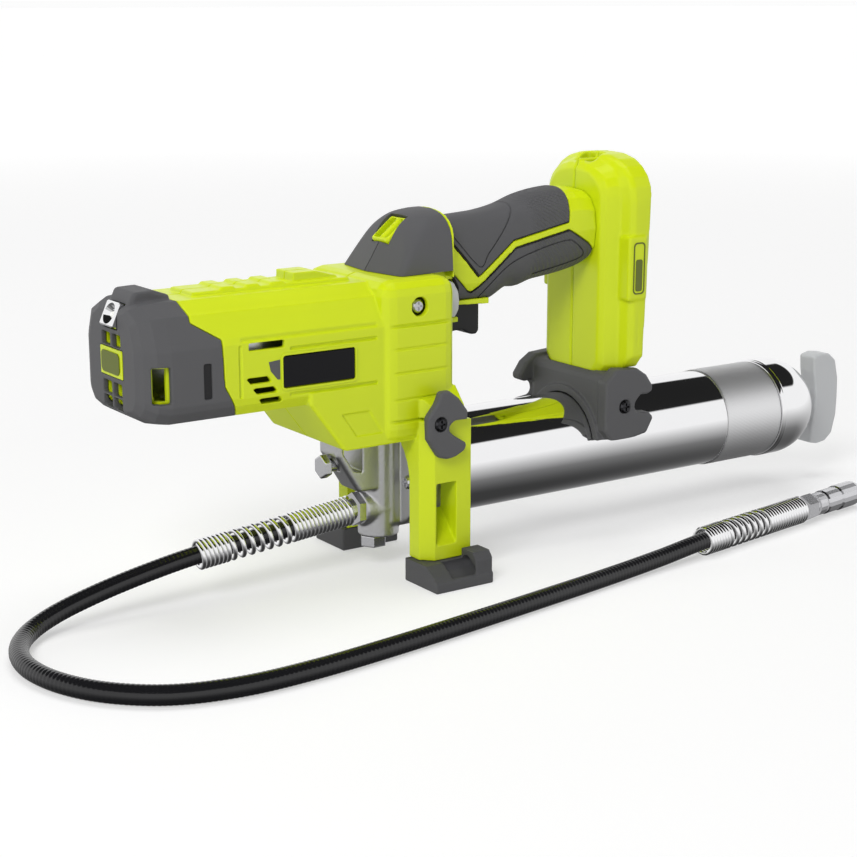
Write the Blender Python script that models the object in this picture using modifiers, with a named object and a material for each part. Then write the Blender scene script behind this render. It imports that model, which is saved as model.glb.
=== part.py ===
"""Cordless grease gun: a motor body over a cast pump head, a grease barrel, a D-handle with a battery
dock, and a hose.

Frame: +X runs from the motor nose to the T-handle, +Y is the tool's right-hand side, +Z is up. The feet
stand on Z = 0, and Y = 0 is the plane of symmetry. Sizes below are in millimetres; meshes are built in
metres.
"""
import math

import bmesh
import bpy
import numpy as np
from mathutils import Matrix, Vector

MM = 0.001
GAP = 0.35                  # clearance between neighbouring pieces
WALL = 2.8                  # moulded wall thickness
WELD = 1e-6                 # merge distance for coincident points, in metres
SLIVER = 1e-5               # merge distance after a Boolean, in metres

# Overall stations
NOSE_X = -250.0
T_HANDLE_END_X = 250.0
MOTOR_Z = 131.0             # height of the motor and gear axis
BARREL_Z = 52.0             # height of the barrel axis
OUTLET_Z = 34.0             # height of the hose outlet

# Motor body and gear housing
BODY_W = 37.0               # half width
BODY_REAR_X = -112.0
GEAR_X = (-119.0, -73.0)
GEAR_W = 40.0
GEAR_Z = (77.0, 162.0)

# Bracket legs and feet
LEG_X = (-98.0, -69.0)
LEG_IN, LEG_OUT = 31.0, 46.0
LEG_CHAMFER = 8.0
LEG_FOOT_Z = 13.0
FOOT_X = (-101.0, -64.5)
FOOT_OUT = 61.0
PARK_R = 4.1                # slot in the foot that holds the coupler's nose
PARK_SLOT = ((-51.4, 10.4), (-55.4, 7.8))

# Hooks and their screws
FRONT_HOOK_Y = (46.4, 51.4)
REAR_HOOK_Y = (29.3, 37.5)
HOOK_SCREW = (-91.6, 87.6)
SADDLE_SCREW = (44.0, 77.0)

# Battery dock and top cap
DOCK_X = 34.3               # where the dock meets the handle
DOCK_CHEEK_Y = 38.4         # half width over the badge bosses
CAP_REAR_X = -66.8          # rear edge of the top cap

# Barrel, a 14 oz cartridge size
TUBE_R = 28.5
TUBE_WALL = 0.9
TUBE_X = (-82.0, 176.7)
KNURL_X = (133.0, 176.7)
CAP_X = (177.1, 219.6)
ROD_R = 4.0
SPRING_R = 21.0

# Pump head
FLANGE_X = (-91.0, -69.0)
FLANGE_R = 30.3
PLUNGER_X = -101.0
PLUNGER_R = 4.1
COLUMN_Z = (18.4, 96.0)      # the cast column that holds the plunger

# Planetary stage: sun 12, planets 18, ring 48 teeth
MODULE = 0.9
SUN_TEETH, PLANET_TEETH, RING_TEETH = 12, 18, 48
PLANET_ORBIT = MODULE * (SUN_TEETH + PLANET_TEETH) / 2
GEAR_STAGE_X = (-131.0, -121.0)
CRANK_R = 4.5

# Hose, 30 inch
HOSE_R = 4.8
GUARD_R = (6.3, 8.2)
GUARD_LENGTH = 95.0
FITTING_X = -110.3
FITTING_HEX = 4.0
DROOP = math.radians(5.5)   # the hose leaves the outlet pointing slightly down
FAR_END = (150.0, -73.9, 8.4)
FAR_ANGLE = math.radians(9.3)

# Handle: station x, top z, bottom z, half width
GRIP = (
    (-77, 187, 143, 17.5),
    (-64, 187.5, 140.5, 17.5),
    (-46, 188.5, 139.5, 18),
    (-32, 189.5, 140.5, 18.5),
    (-18, 192, 148, 19),
    (-4, 196.5, 149, 19.5),
    (10, 199, 150.5, 20),
    (24, 199.5, 153, 21),
    (38, 197, 157, 21),
)
PAD = 2.6                   # overmould thickness

PARTS = None
CUTTERS = None
PALETTE = {
    "green": ((0.56, 0.68, 0.02), 0.42, 0.0),
    "dark": ((0.075, 0.075, 0.08), 0.62, 0.0),
    "black": ((0.012, 0.012, 0.013), 0.45, 0.0),
    "rubber": ((0.05, 0.05, 0.052), 0.75, 0.0),
    "chrome": ((0.86, 0.86, 0.87), 0.06, 1.0),
    "steel": ((0.55, 0.55, 0.56), 0.32, 1.0),
    "cast": ((0.62, 0.62, 0.63), 0.42, 1.0),
    "satin": ((0.74, 0.74, 0.75), 0.3, 1.0),
    "paint": ((0.56, 0.57, 0.58), 0.45, 0.0),
    "hose": ((0.008, 0.008, 0.009), 0.22, 0.0),
    "lens": ((0.9, 0.9, 0.85), 0.1, 0.0),
    "brass": ((0.72, 0.52, 0.2), 0.3, 1.0),
    "copper": ((0.6, 0.25, 0.12), 0.35, 1.0),
}


# ---------------------------------------------------------------- scene and material helpers

def clear_scene():
    for obj in list(bpy.data.objects):
        bpy.data.objects.remove(obj, do_unlink=True)


def collection(name):
    group = bpy.data.collections.new(name)
    bpy.context.scene.collection.children.link(group)
    return group


def material(name):
    found = bpy.data.materials.get(name)
    if found:
        return found
    rgb, roughness, metallic = PALETTE[name]
    mat = bpy.data.materials.new(name)
    mat.use_nodes = True
    shader = mat.node_tree.nodes["Principled BSDF"]
    shader.inputs["Base Color"].default_value = (*rgb, 1.0)
    shader.inputs["Roughness"].default_value = roughness
    shader.inputs["Metallic"].default_value = metallic
    mat.diffuse_color = (*rgb, 1.0)
    return mat


def add_object(name, data):
    obj = bpy.data.objects.new(name, data)
    PARTS.objects.link(obj)
    return obj


def finish(obj, finish_name, smooth_angle=35.0):
    """Give a finished piece its material and smooth shading."""
    obj.data.materials.clear()
    obj.data.materials.append(material(finish_name))
    obj.data.shade_smooth()
    obj.data.set_sharp_from_angle(angle=math.radians(smooth_angle))
    return obj


# ---------------------------------------------------------------- solid helpers

def mesh_solid(name, bm):
    bmesh.ops.recalc_face_normals(bm, faces=bm.faces)
    mesh = bpy.data.meshes.new(name)
    bm.to_mesh(mesh)
    bm.free()
    return add_object(name, mesh)


def bake(obj):
    """Replace an object's data with its evaluated mesh."""
    bpy.context.view_layer.update()
    graph = bpy.context.evaluated_depsgraph_get()
    mesh = bpy.data.meshes.new_from_object(obj.evaluated_get(graph))
    if obj.type == "MESH":
        obj.modifiers.clear()
        obj.data = mesh
        return obj
    name, matrix = obj.name, obj.matrix_world.copy()
    bpy.data.objects.remove(obj, do_unlink=True)
    bm = bmesh.new()
    bm.from_mesh(mesh)
    bmesh.ops.remove_doubles(bm, verts=bm.verts, dist=WELD)
    bmesh.ops.recalc_face_normals(bm, faces=bm.faces)
    bm.to_mesh(mesh)
    bm.free()
    solid = add_object(name, mesh)
    solid.name = name
    mesh.transform(matrix)
    return solid


def boolean(obj, tool, operation):
    tool.hide_render = True
    tool.display_type = "WIRE"
    for group in list(tool.users_collection):
        group.objects.unlink(tool)
    CUTTERS.objects.link(tool)
    mod = obj.modifiers.new(operation.lower(), "BOOLEAN")
    mod.operation = operation
    mod.solver = "EXACT"
    mod.object = tool
    return tidy(bake(obj))


def tidy(obj):
    """Weld the slivers that a Boolean can leave."""
    bm = bmesh.new()
    bm.from_mesh(obj.data)
    bmesh.ops.remove_doubles(bm, verts=bm.verts, dist=SLIVER)
    bmesh.ops.dissolve_degenerate(bm, edges=bm.edges, dist=SLIVER)
    bm.to_mesh(obj.data)
    bm.free()
    return obj


def cut(obj, *tools):
    for tool in tools:
        boolean(obj, tool, "DIFFERENCE")
    return obj


def join(obj, *tools):
    for tool in tools:
        boolean(obj, tool, "UNION")
    return obj


def keep(obj, tool):
    return boolean(obj, tool, "INTERSECT")


def copy_of(obj, name):
    twin = add_object(name, obj.data.copy())
    return twin


def mirrored(obj, name):
    """The same piece on the other side of Y = 0."""
    twin = copy_of(obj, name)
    twin.data.transform(Matrix.Scale(-1, 4, (0, 1, 0)))
    twin.data.flip_normals()
    return twin


def bevelled(obj, width, segments=2, angle=30.0):
    mod = obj.modifiers.new("edge", "BEVEL")
    mod.width = width * MM
    mod.segments = segments
    mod.limit_method = "ANGLE"
    mod.angle_limit = math.radians(angle)
    return bake(obj)


def block(name, x, y, z, bevel=0.0, segments=2):
    """A box from three (low, high) ranges."""
    bm = bmesh.new()
    bmesh.ops.create_cube(bm, size=1.0)
    size = Vector((x[1] - x[0], y[1] - y[0], z[1] - z[0])) * MM
    centre = Vector((x[0] + x[1], y[0] + y[1], z[0] + z[1])) * MM / 2
    bmesh.ops.scale(bm, vec=size, verts=bm.verts)
    bmesh.ops.translate(bm, vec=centre, verts=bm.verts)
    obj = mesh_solid(name, bm)
    return bevelled(obj, bevel, segments) if bevel else obj



def frame(origin, direction):
    """Matrix that lays local +Z along direction and local +X as high as it can be."""
    along = Vector(direction).normalized()
    up = Vector((0, 0, 1)) if abs(along.z) < 0.9 else Vector((1, 0, 0))
    side = along.cross(up).normalized()
    high = side.cross(along).normalized()
    turn = Matrix((high, along.cross(high), along)).transposed().to_4x4()
    return Matrix.Translation(Vector(origin) * MM) @ turn


def turned(name, profile, origin, direction, steps=32):
    """Revolve a profile of (distance along, radius) points; both ends on the axis, or a closed ring."""
    mesh = bpy.data.meshes.new(name)
    points = [(radius * MM, 0.0, along * MM) for along, radius in profile]
    closed = profile[0][1] > 0
    edges = [(i, i + 1) for i in range(len(points) - 1)]
    if closed:
        edges.append((len(points) - 1, 0))
    mesh.from_pydata(points, edges, [])
    obj = add_object(name, mesh)
    screw = obj.modifiers.new("turn", "SCREW")
    screw.axis = "Z"
    screw.steps = steps
    screw.render_steps = steps
    screw.use_merge_vertices = True
    screw.merge_threshold = WELD
    bake(obj)
    bm = bmesh.new()
    bm.from_mesh(obj.data)
    bmesh.ops.remove_doubles(bm, verts=bm.verts, dist=WELD)
    bmesh.ops.recalc_face_normals(bm, faces=bm.faces)
    bm.to_mesh(obj.data)
    bm.free()
    obj.data.transform(frame(origin, direction))
    return obj


def cylinder(name, radius, origin, direction, length, steps=32):
    return turned(name, [(0, 0), (0, radius), (length, radius), (length, 0)], origin, direction, steps)


def ring(name, inner, outer, origin, direction, length, steps=32):
    profile = [(0, inner), (0, outer), (length, outer), (length, inner)]
    return turned(name, profile, origin, direction, steps)


def hexagon(name, across_flats, origin, direction, length):
    return cylinder(name, across_flats / math.sqrt(3), origin, direction, length, steps=6)


PLANES = {
    "XZ": Matrix(((1, 0, 0, 0), (0, 0, -1, 0), (0, 1, 0, 0), (0, 0, 0, 1))),
    "YZ": Matrix(((0, 0, 1, 0), (1, 0, 0, 0), (0, 1, 0, 0), (0, 0, 0, 1))),
    "XY": Matrix.Identity(4),
}
DEPTH_SIGN = {"XZ": -1, "YZ": 1, "XY": 1}


def plate(name, outlines, plane, start, end):
    """Extrude flat outlines, drawn in the named plane, from start to end along the third axis."""
    curve = bpy.data.curves.new(name, "CURVE")
    curve.dimensions = "2D"
    curve.fill_mode = "BOTH"
    curve.extrude = abs(end - start) / 2 * MM
    if not isinstance(outlines[0][0], (tuple, list, Vector)):
        outlines = [outlines]
    for outline in outlines:
        spline = curve.splines.new("POLY")
        spline.points.add(len(outline) - 1)
        for point, (u, v) in zip(spline.points, outline):
            point.co = (u * MM, v * MM, 0, 1)
        spline.use_cyclic_u = True
    obj = add_object(name, curve)
    depth = (start + end) / 2 * MM * DEPTH_SIGN[plane]
    obj.matrix_world = PLANES[plane] @ Matrix.Translation((0, 0, depth))
    return bake(obj)


def both_sides(half):
    """Close an outline given for one side, as (offset, height) points from top to bottom."""
    return [(u, v) for u, v in half] + [(-u, v) for u, v in reversed(half) if u > 0]


def inset(outline, distance):
    """Move every edge of a flat outline inwards by the same distance."""
    area = sum(a[0] * b[1] - b[0] * a[1] for a, b in zip(outline, outline[1:] + outline[:1]))
    turn = 1 if area > 0 else -1
    moved = []
    count = len(outline)
    for k in range(count):
        before, here, after = (Vector(outline[(k + step) % count]) for step in (-1, 0, 1))
        first, second = (here - before).normalized(), (after - here).normalized()
        left_first = turn * Vector((-first.y, first.x))
        left_second = turn * Vector((-second.y, second.x))
        mitre = left_first + left_second
        moved.append(tuple(here + mitre * (distance / (1 + left_first.dot(left_second)))))
    return moved


def loft(name, rings):
    """Skin a list of equal-length point rings and close both ends."""
    bm = bmesh.new()
    rows = [[bm.verts.new(Vector(p) * MM) for p in points] for points in rings]
    count = len(rows[0])
    for low, high in zip(rows, rows[1:]):
        for i in range(count):
            j = (i + 1) % count
            bm.faces.new((low[i], low[j], high[j], high[i]))
    bmesh.ops.triangulate(bm, faces=bm.faces)
    bm.faces.new(rows[0])
    bm.faces.new(list(reversed(rows[-1])))
    return mesh_solid(name, bm)


def oval(x, z_mid, half_w, half_h, power=2.6, count=16):
    """A superellipse ring in the plane X = x."""
    points = []
    for k in range(count):
        angle = 2 * math.pi * k / count
        c, s = math.cos(angle), math.sin(angle)
        y = half_w * math.copysign(abs(c) ** (2 / power), c)
        z = half_h * math.copysign(abs(s) ** (2 / power), s)
        points.append((x, y, z_mid + z))
    return points


def smooth_path(points, spacing):
    """Even points along a Catmull-Rom curve through the given points."""
    knots = [2 * np.array(points[0]) - np.array(points[1])]
    knots += [np.array(p, float) for p in points]
    knots.append(2 * np.array(points[-1]) - np.array(points[-2]))
    dense = []
    for a, b, c, d in zip(knots, knots[1:], knots[2:], knots[3:]):
        for t in np.linspace(0, 1, 40, endpoint=False):
            dense.append(0.5 * (2 * b + (c - a) * t + (2 * a - 5 * b + 4 * c - d) * t ** 2
                                + (3 * b - a - 3 * c + d) * t ** 3))
    dense.append(knots[-2])
    dense = np.array(dense)
    run = np.concatenate([[0], np.cumsum(np.linalg.norm(np.diff(dense, axis=0), axis=1))])
    marks = np.linspace(0, run[-1], max(2, round(run[-1] / spacing) + 1))
    return np.stack([np.interp(marks, run, dense[:, k]) for k in range(3)], axis=1)


def wire(name, points, radius, resolution=1):
    """A round bar along a list of points, with flat ends."""
    curve = bpy.data.curves.new(name, "CURVE")
    curve.dimensions = "3D"
    curve.bevel_depth = radius * MM
    curve.bevel_resolution = resolution
    curve.use_fill_caps = True
    spline = curve.splines.new("POLY")
    spline.points.add(len(points) - 1)
    for point, co in zip(spline.points, points):
        point.co = (*(Vector(co) * MM), 1)
    return bake(add_object(name, curve))


def helix(start, direction, radius, length, turns, per_turn):
    """Points of a coil that starts at start and runs along direction."""
    place = frame((0, 0, 0), direction)
    points = []
    for k in range(turns * per_turn + 1):
        angle = 2 * math.pi * k / per_turn
        local = Vector((radius * math.cos(angle), radius * math.sin(angle),
                        length * k / (turns * per_turn)))
        points.append(place @ local + Vector(start))
    return points


def tilted(spot, tilt):
    """Matrix that tips a shape made about the origin and sets it at (x, z) in the plane of symmetry."""
    return Matrix.Translation(Vector((spot[0], 0, spot[1])) * MM) @ Matrix.Rotation(tilt, 4, "Y")


# ---------------------------------------------------------------- shared shapes of the casing

BODY_HALF = [(0, 160), (19, 160), (31, 154.5), (36.2, 142), (BODY_W, 139), (BODY_W, 112),
             (36, 108.5), (31, 103), (20, 101), (0, 101)]
SEAM = [(-223.5, 175), (-223.5, 151), (-209, 142), (-208, 119), (-199.5, 103), (-199.5, 90)]


def body_ring(x, scale_y=1.0, scale_z=1.0, lift=0.0):
    mid = MOTOR_Z
    return [(x, y * scale_y, mid + lift + (z - mid) * scale_z) for y, z in both_sides(BODY_HALF)]


def nose_zone(name, shift):
    """Everything on the nose side of the seam between the cap and the green body."""
    edge = [(x + shift, z) for x, z in SEAM]
    return plate(name, edge + [(NOSE_X - 20, 90), (NOSE_X - 20, 175)], "XZ", -60, 60)


def nose_loft(name, inset):
    """The rounded nose of the motor body, shrunk by inset on every side and on the front."""
    ky = (BODY_W - inset) / BODY_W
    kz = (29.5 - inset) / 29.5
    stations = ((-190, 1, 1, 0), (-236, 1, 1, 0), (-243, 0.96, 0.965, 0.4), (-248, 0.84, 0.88, 0.8),
                (NOSE_X, 0.68, 0.80, 0.8))
    return loft(name, [body_ring(x + (inset if x < -195 else 0), ky * a, kz * b, c)
                       for x, a, b, c in stations])


def grip_loft(name, inset, first=0, last=len(GRIP)):
    rings = []
    for x, top, bottom, half_w in GRIP[first:last]:
        rings.append(oval(x, (top + bottom) / 2, half_w - inset, (top - bottom) / 2 - inset))
    return loft(name, rings)


# What each pad covers, as (x, z)
UPPER_PAD = [(-64.8, 206), (-64.8, 178.5), (-59.5, 173), (-43.6, 155.2), (-21, 173.4), (16, 181),
             (20, 206)]
LOWER_PAD = [(-64.8, 160.6), (-63.0, 161.8), (-49.6, 148.9), (-46.9, 147.8), (-43.2, 150.2),
             (-20, 170.0), (16, 177.4), (30, 169), (34, 165), (33, 160), (27, 154), (20, 130),
             (-55.0, 130), (-55.6, 142.4), (-57.0, 151.0), (-61.0, 157.4)]


def dock_ring(x, half_w, low, top):
    """Arch-topped outline of the battery dock in the plane X = x."""
    rise = 25.0 * half_w / 37.0
    points = []
    for k in range(13):
        angle = math.pi * k / 12
        c, s = math.cos(angle), math.sin(angle)
        y = half_w * math.copysign(abs(c) ** 0.8, c)
        points.append((x, y, top - rise + rise * s ** 0.9))
    points += [(x, -half_w, low + 7), (x, -half_w + 5, low), (x, half_w - 5, low), (x, half_w, low + 7)]
    return points


DOCK = ((34.5, 22.5, 95, 208), (37, 26, 92.5, 211.5), (44, 29.5, 92, 214), (46.5, 35.5, 96.5, 216.3),
        (49, 37, 98, 217), (61.5, 37, 98, 217))


# ---------------------------------------------------------------- casing

def casing_outer():
    """The outside of both green halves, with the dock, as one solid."""
    shell = plate("casing", both_sides(BODY_HALF), "YZ", -226, BODY_REAR_X)
    cut(shell, nose_zone("nose_cutter", 0))
    pad = block("pad", (-212, -122), (-12.5, 12.5), (150, 162.0), 1.2)
    ribs = [block(f"pad_rib_{x}", (x, x + 8), (-11.8, 11.8), (150, 163.3), 0.8, 1)
            for x in (-196, -182, -168)]
    fin = plate("fin", [(-155, 150), (-153, 166.3), (-140, 166.3), (-128, 163.0), (-124, 150)], "XZ", -9, 9)
    gear = block("gear_block", GEAR_X, (-GEAR_W, GEAR_W), GEAR_Z, 8, 3)
    skirt = plate("skirt", [(-161, 104), (-141, 77.3), (-96, 77.3), (-96, 115), (-161, 115)], "XZ", -37, 37)
    bevelled(skirt, 1.6)
    join(shell, pad, *ribs, fin, gear, skirt, build_legs(), build_handle_core())
    return shell


def build_legs():
    """Both legs in one: chamfered in front, cut back behind the hooks."""
    leg_half = [(0, 104), (38, 104), (LEG_OUT, 95), (LEG_OUT, LEG_FOOT_Z), (0, LEG_FOOT_Z)]
    legs = plate("legs", both_sides(leg_half), "YZ", *LEG_X)
    for side in (-1, 1):
        corner = [(LEG_X[0] - 2, side * (LEG_OUT - LEG_CHAMFER)),
                  (LEG_X[0] + LEG_CHAMFER, side * (LEG_OUT + 2)), (LEG_X[0] - 2, side * (LEG_OUT + 2))]
        cut(legs, plate(f"leg_chamfer_{side}", corner, "XY", 0, 110))
    cut(legs, plate("leg_rear_top", [(-73.4, 110), (-73.4, 94), (-71.2, 87), (-60, 87), (-60, 110)], "XZ",
                    -60, 60))
    return legs


def build_handle_core():
    """The green inside of the handle, the dock, and the stripes that show between the pads."""
    core = grip_loft("core", PAD)
    dock = loft("dock", [dock_ring(*row) for row in DOCK])
    lean = plate("lean", [(61.3, 222), (56.2, 90), (75, 90), (75, 222)], "XZ", -60, 60)
    cut(dock, lean)
    boss = block("boss", (43.5, 57), (-DOCK_CHEEK_Y, DOCK_CHEEK_Y), (137, 173), 0.8, 1)
    outline = [(-80, 133), (-80, 163), (-69, 163), (-65.8, 160), (-62, 157.3), (-58, 151.2),
               (-56.6, 143), (-56.6, 133)]
    neck = plate("neck", outline, "XZ", -18.2, 18.2)
    outline = [(-57.2, 138.4), (-34.6, 136.3), (-34.6, 143.5), (-57.2, 143.5)]
    guard = plate("guard", outline, "XZ", -14.5, 14.5)
    piping_half = [(0, 193.2), (7, 192.8), (12, 191.9), (17, 190.3), (20.8, 187.6), (23.6, 184.3),
                   (24.7, 180.5), (25.3, 162), (25.3, 158.5), (0, 158.5)]
    piping = plate("piping", both_sides(piping_half), "YZ", CAP_REAR_X + 0.37, CAP_REAR_X + 1.63)
    stripe = grip_loft("stripe", 0.2)
    cut(stripe, plate("upper_zone", UPPER_PAD, "XZ", -60, 60),
        plate("lower_zone", LOWER_PAD, "XZ", -60, 60),
        block("ahead_zone", (-90, CAP_REAR_X + 0.8), (-60, 60), (120, 210)))
    return join(core, neck, dock, boss, guard, stripe, piping)


LOUVRES = ((-196.6, 120.1), (-193.2, 114.7), (-189.9, 109.3))     # upper front corner of each, x and middle z


def casing_hollows():
    """Everything taken out of the casing, as a list of cutters."""
    inner = [(y * 0.92, MOTOR_Z + (z - MOTOR_Z) * 0.9) for y, z in BODY_HALF]
    hollows = [plate("motor_bay", both_sides(inner), "YZ", -235, -114)]
    hollows.append(block("gear_bay", (-118, -76.2), (-36.8, 36.8), (84, 158.8), 5, 2))
    hollows.append(block("leg_gap", (-105, -60), (0.1 - LEG_IN, LEG_IN - 0.1), (0, BARREL_Z + 1)))
    hollows.append(cylinder("barrel_way", LEG_IN, (-99.5, 0, BARREL_Z), (1, 0, 0), 40, 32))
    hollows.append(plate("skirt_bay", [(-154, 108), (-154, 102), (-138.5, 82), (-110, 82), (-110, 108)],
                         "XZ", -34, 34))
    hollows.append(block("pump_way", (-132, -85.6), (-15, 15), (60, 98), 1.5, 1))
    hollows.append(grip_loft("handle_bay", PAD + WALL, 0, 7))
    hollows.append(block("dock_rim", (54.0, 75), (-32.5, 32.5), (104, 196), 6, 2))
    hollows.append(block("dock_bay", (38.5, 75), (-22, 22), (108, 194), 4, 2))
    hollows.append(block("cable_way", (20, 50), (-5, 5), (170, 180)))
    hollows.append(block("trigger_way", (-57.5, -35.4), (-7.6, 7.6), (120, 153)))
    hollows.append(plate("lock_way", [(-64.6, 135.6), (-56, 135.6), (-56, 151), (-60.0, 156.4),
                                      (-64.6, 156.4)],
                         "XZ", -30, 30))
    for side in (-1, 1):
        ramp = [(60, 20.5), (LEG_OUT, 20.5), (LEG_IN, 37), (20, 42), (20, 54.5), (60, 54.5)]
        hollows.append(plate(f"leg_window_{side}", [(side * y, z) for y, z in ramp], "YZ", -91, -78.3))
        through = sorted((side * 25, side * 60))
        for x, z in LOUVRES:
            slot = [(x, z + 1.5), (x + 12, z + 1.5), (x + 14.4, z - 1.5), (x + 2.4, z - 1.5)]
            hollows.append(plate(f"louvre_{side}_{z}", slot, "XZ", *through))
        hollows.append(block(f"vent_long_{side}", (-195, -175), through, (135.2, 138.8)))
        shallow = sorted((side * 35.9, side * 60))
        hollows.append(block(f"label_seat_{side}", (-176.6, -134.4), shallow, (114.4, 131.0)))
        hollows.append(plate(f"skirt_panel_{side}", [(-143, 97), (-126, 97), (-117.5, 84), (-134, 84)],
                             "XZ",
                             side * 36.2, side * 39))
    hollows.append(block("strap_way", (40.5, 51.5), (-7.5, 7.5), (202.5, 222), 1, 1))
    hollows.append(cylinder("gear_screw_seat", 5.0, (-97, -60, 148), (0, 1, 0), 24, 20))
    for z in (100.5, 114.5, 127.0):
        for side in (-1, 1):
            low, high = sorted((side * 39.3, side * 60))
            hollows.append(block(f"groove_{z}_{side}", (-114, -78), (low, high), (z - 0.7, z + 0.7)))
    return hollows


def build_casing():
    shell = casing_outer()
    cut(shell, *casing_hollows())
    bar = cylinder("strap_bar", 2.4, (36.5, 0, 211.5), (1, 0, 0), 18, 12)
    join(shell, bar)
    left, right = (-90, -GAP / 2), (GAP / 2, 90)
    handle, dock = (-300, DOCK_X - GAP / 2), (DOCK_X + GAP / 2, 300)
    for name, x, y in (("housing_left", handle, left), ("housing_right", handle, right),
                       ("dock_left", dock, left), ("dock_right", dock, right)):
        half = copy_of(shell, name)
        keep(half, block(f"{name}_space", x, y, (-50, 300)))
        finish(half, "green")
    bpy.data.objects.remove(shell, do_unlink=True)


# ---------------------------------------------------------------- nose

LED_SPOT = (-247.2, 152.6)
LED_TILT = math.radians(24)


def nose_openings(prefix, grow):
    """Vents on the nose face and the long window on each side."""
    tools = []
    for y in (-9.5, 2.0):
        for row, z in enumerate((141.2, 117.0, 109.8)):
            tools.append(block(f"{prefix}_vent_{y}_{row}", (-256, -240), (y - grow, y + 8 + grow),
                               (z - 2.2 - grow, z + 2.2 + grow)))
    for side in (-1, 1):
        low, high = sorted((side * 28, side * 50))
        tools.append(block(f"{prefix}_window_{side}", (-244.2 - grow, -237.6 + grow), (low, high),
                           (115 - grow, 131 + grow)))
    return tools


def build_nose():
    cap = nose_loft("motor_end_cap", 0)
    outline = [(-250, 140), (-250.2, 146.6), (-245.2, 158.6), (-242.5, 164.6), (-232, 165),
               (-219, 160.2), (-205, 159.6), (-205, 145), (-230, 138)]
    hump = plate("hump", outline, "XZ", -11.5, 11.5)
    bevelled(hump, 1.6, 2, 40)
    join(cap, hump)
    keep(cap, nose_zone("cap_zone", -GAP))
    cut(cap, nose_loft("cap_hollow", 2.6))
    led_seat = block("led_seat", (-4.0, 6.0), (-7.4, 7.4), (-6.6, 6.6))
    led_seat.data.transform(tilted(LED_SPOT, LED_TILT))
    cut(cap, led_seat, *nose_openings("cap", 0.9))
    for side in (-1, 1):
        low, high = sorted((side * 35.4, side * 50))
        cut(cap, block(f"slot_{side}", (-219.5, -215), (low, high), (114, 131.5)))
    cut(cap, block("badge_seat", (-253, -249.1), (-12.4, 12.4), (122.6, 137.4)))
    finish(cap, "dark")
    liner = nose_loft("nose_liner", 2.6 + GAP)
    keep(liner, nose_zone("liner_zone", -2.0))
    cut(liner, nose_loft("liner_hollow", 4.6), *nose_openings("liner", 0))
    cut(liner, block("led_room", (-256, -228), (-10, 10), (144, 170)))
    finish(liner, "green")
    badge = block("nose_badge", (-250.5, -249.4), (-12, 12), (123, 137), 0.4, 1)
    finish(badge, "green")
    place = tilted(LED_SPOT, LED_TILT)
    reflector = block("led_reflector", (-3.6, 4.0), (-7.0, 7.0), (-6.2, 6.2), 0.6, 1)
    cut(reflector, turned("reflector_bowl", [(0, 0), (0, 5.4), (4.5, 2.2), (4.5, 0)],
                          (-3.7, 0, 0), (1, 0, 0), 24))
    reflector.data.transform(place)
    finish(reflector, "chrome")
    lens = turned("led_lens", [(0.9, 0), (1.2, 1.1), (2.2, 1.75), (4.35, 1.8), (4.35, 0)], (-3.6, 0, 0),
                  (1, 0, 0), 16)
    lens.data.transform(place)
    finish(lens, "lens")


# ---------------------------------------------------------------- small plates and pads

def build_trim():
    for side, word in ((-1, "left"), (1, "right")):
        low, high = sorted((side * 36.25, side * 37.3))
        finish(block(f"label_plate_{word}", (-176.2, -134.8), (low, high), (114.8, 130.6), 0.4, 1), "black")


def arc_between(before, corner, after, steps=3):
    """A quadratic round of a corner, from one tangent point to the other."""
    points = []
    for k in range(steps + 1):
        t = k / steps
        points.append(tuple((1 - t) ** 2 * a + 2 * t * (1 - t) * c + t * t * b
                            for a, c, b in zip(before, corner, after)))
    return points


def cap_ring(z, seam, corner, front_w, rear_w, radius, inset=0.0):
    """A level slice of the top cap: a shallow V in front, rounded corners, sides that run back to the
    handle."""
    seam, corner, front_w, rear_w = seam + inset, corner + inset, front_w - inset, rear_w - inset
    rear_x = CAP_REAR_X + 12
    towards_seam = (corner + (seam - corner) * radius / front_w, front_w - radius)
    towards_rear = (corner + radius, front_w + (rear_w - front_w) * radius / (rear_x - corner))
    half = arc_between(towards_seam, (corner, front_w), towards_rear) + [(rear_x, rear_w)]
    outline = [(seam, 0.0)] + half + [(x, -y) for x, y in reversed(half)]
    return [(x, y, z) for x, y in outline]


# Slices of the top cap: height, x of the seam, x of the front corners, half width in front and at the
# rear, corner radius
TOP_CAP = (
    (162.3, -105.3, -101.0, 28.5, 25.4, 3.5),
    (173, -98.4, -94.6, 26.4, 24.9, 6),
    (181, -93.7, -90.2, 24, 24.2, 9),
    (186, -90.0, -86.5, 20.8, 21.8, 10),
    (190, -84.6, -81.5, 16.2, 17.2, 9),
    (192.2, -77.5, -75.5, 10, 11, 6),
    (193.0, -72.0, -71, 5, 6, 3),
)
STRAP_SPOT = (-88.4, 182.0)
STRAP_TILT = math.radians(-39)


def build_top_cap():
    cap = loft("top_cap", [cap_ring(*row) for row in TOP_CAP])
    room = [cap_ring(z, *row, inset=2.5) for z, *row in ((z - 2.4, *row) for z, *row in TOP_CAP[:5])]
    cut(cap, block("cap_rear", (CAP_REAR_X, -30), (-60, 60), (100, 260)), loft("cap_room", room))
    spot = tilted(STRAP_SPOT, STRAP_TILT)
    seat = block("strap_seat", (-9.1, 9.1), (-8.2, 8.2), (-6, 12), 1.5, 1)
    seat.data.transform(spot)
    cut(cap, seat)
    finish(cap, "dark")
    cup = block("strap_cup_front", (-8.7, 8.7), (-7.8, 7.8), (-4.4, 2.4), 1.4, 2)
    cut(cup, block("strap_cup_room", (-7.2, 7.2), (-6.3, 6.3), (-3.2, 6), 1, 1))
    join(cup, cylinder("strap_cup_bar", 2.3, (-8.0, 0, -0.2), (1, 0, 0), 16, 14))
    cup.data.transform(spot)
    finish(cup, "green")


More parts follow.
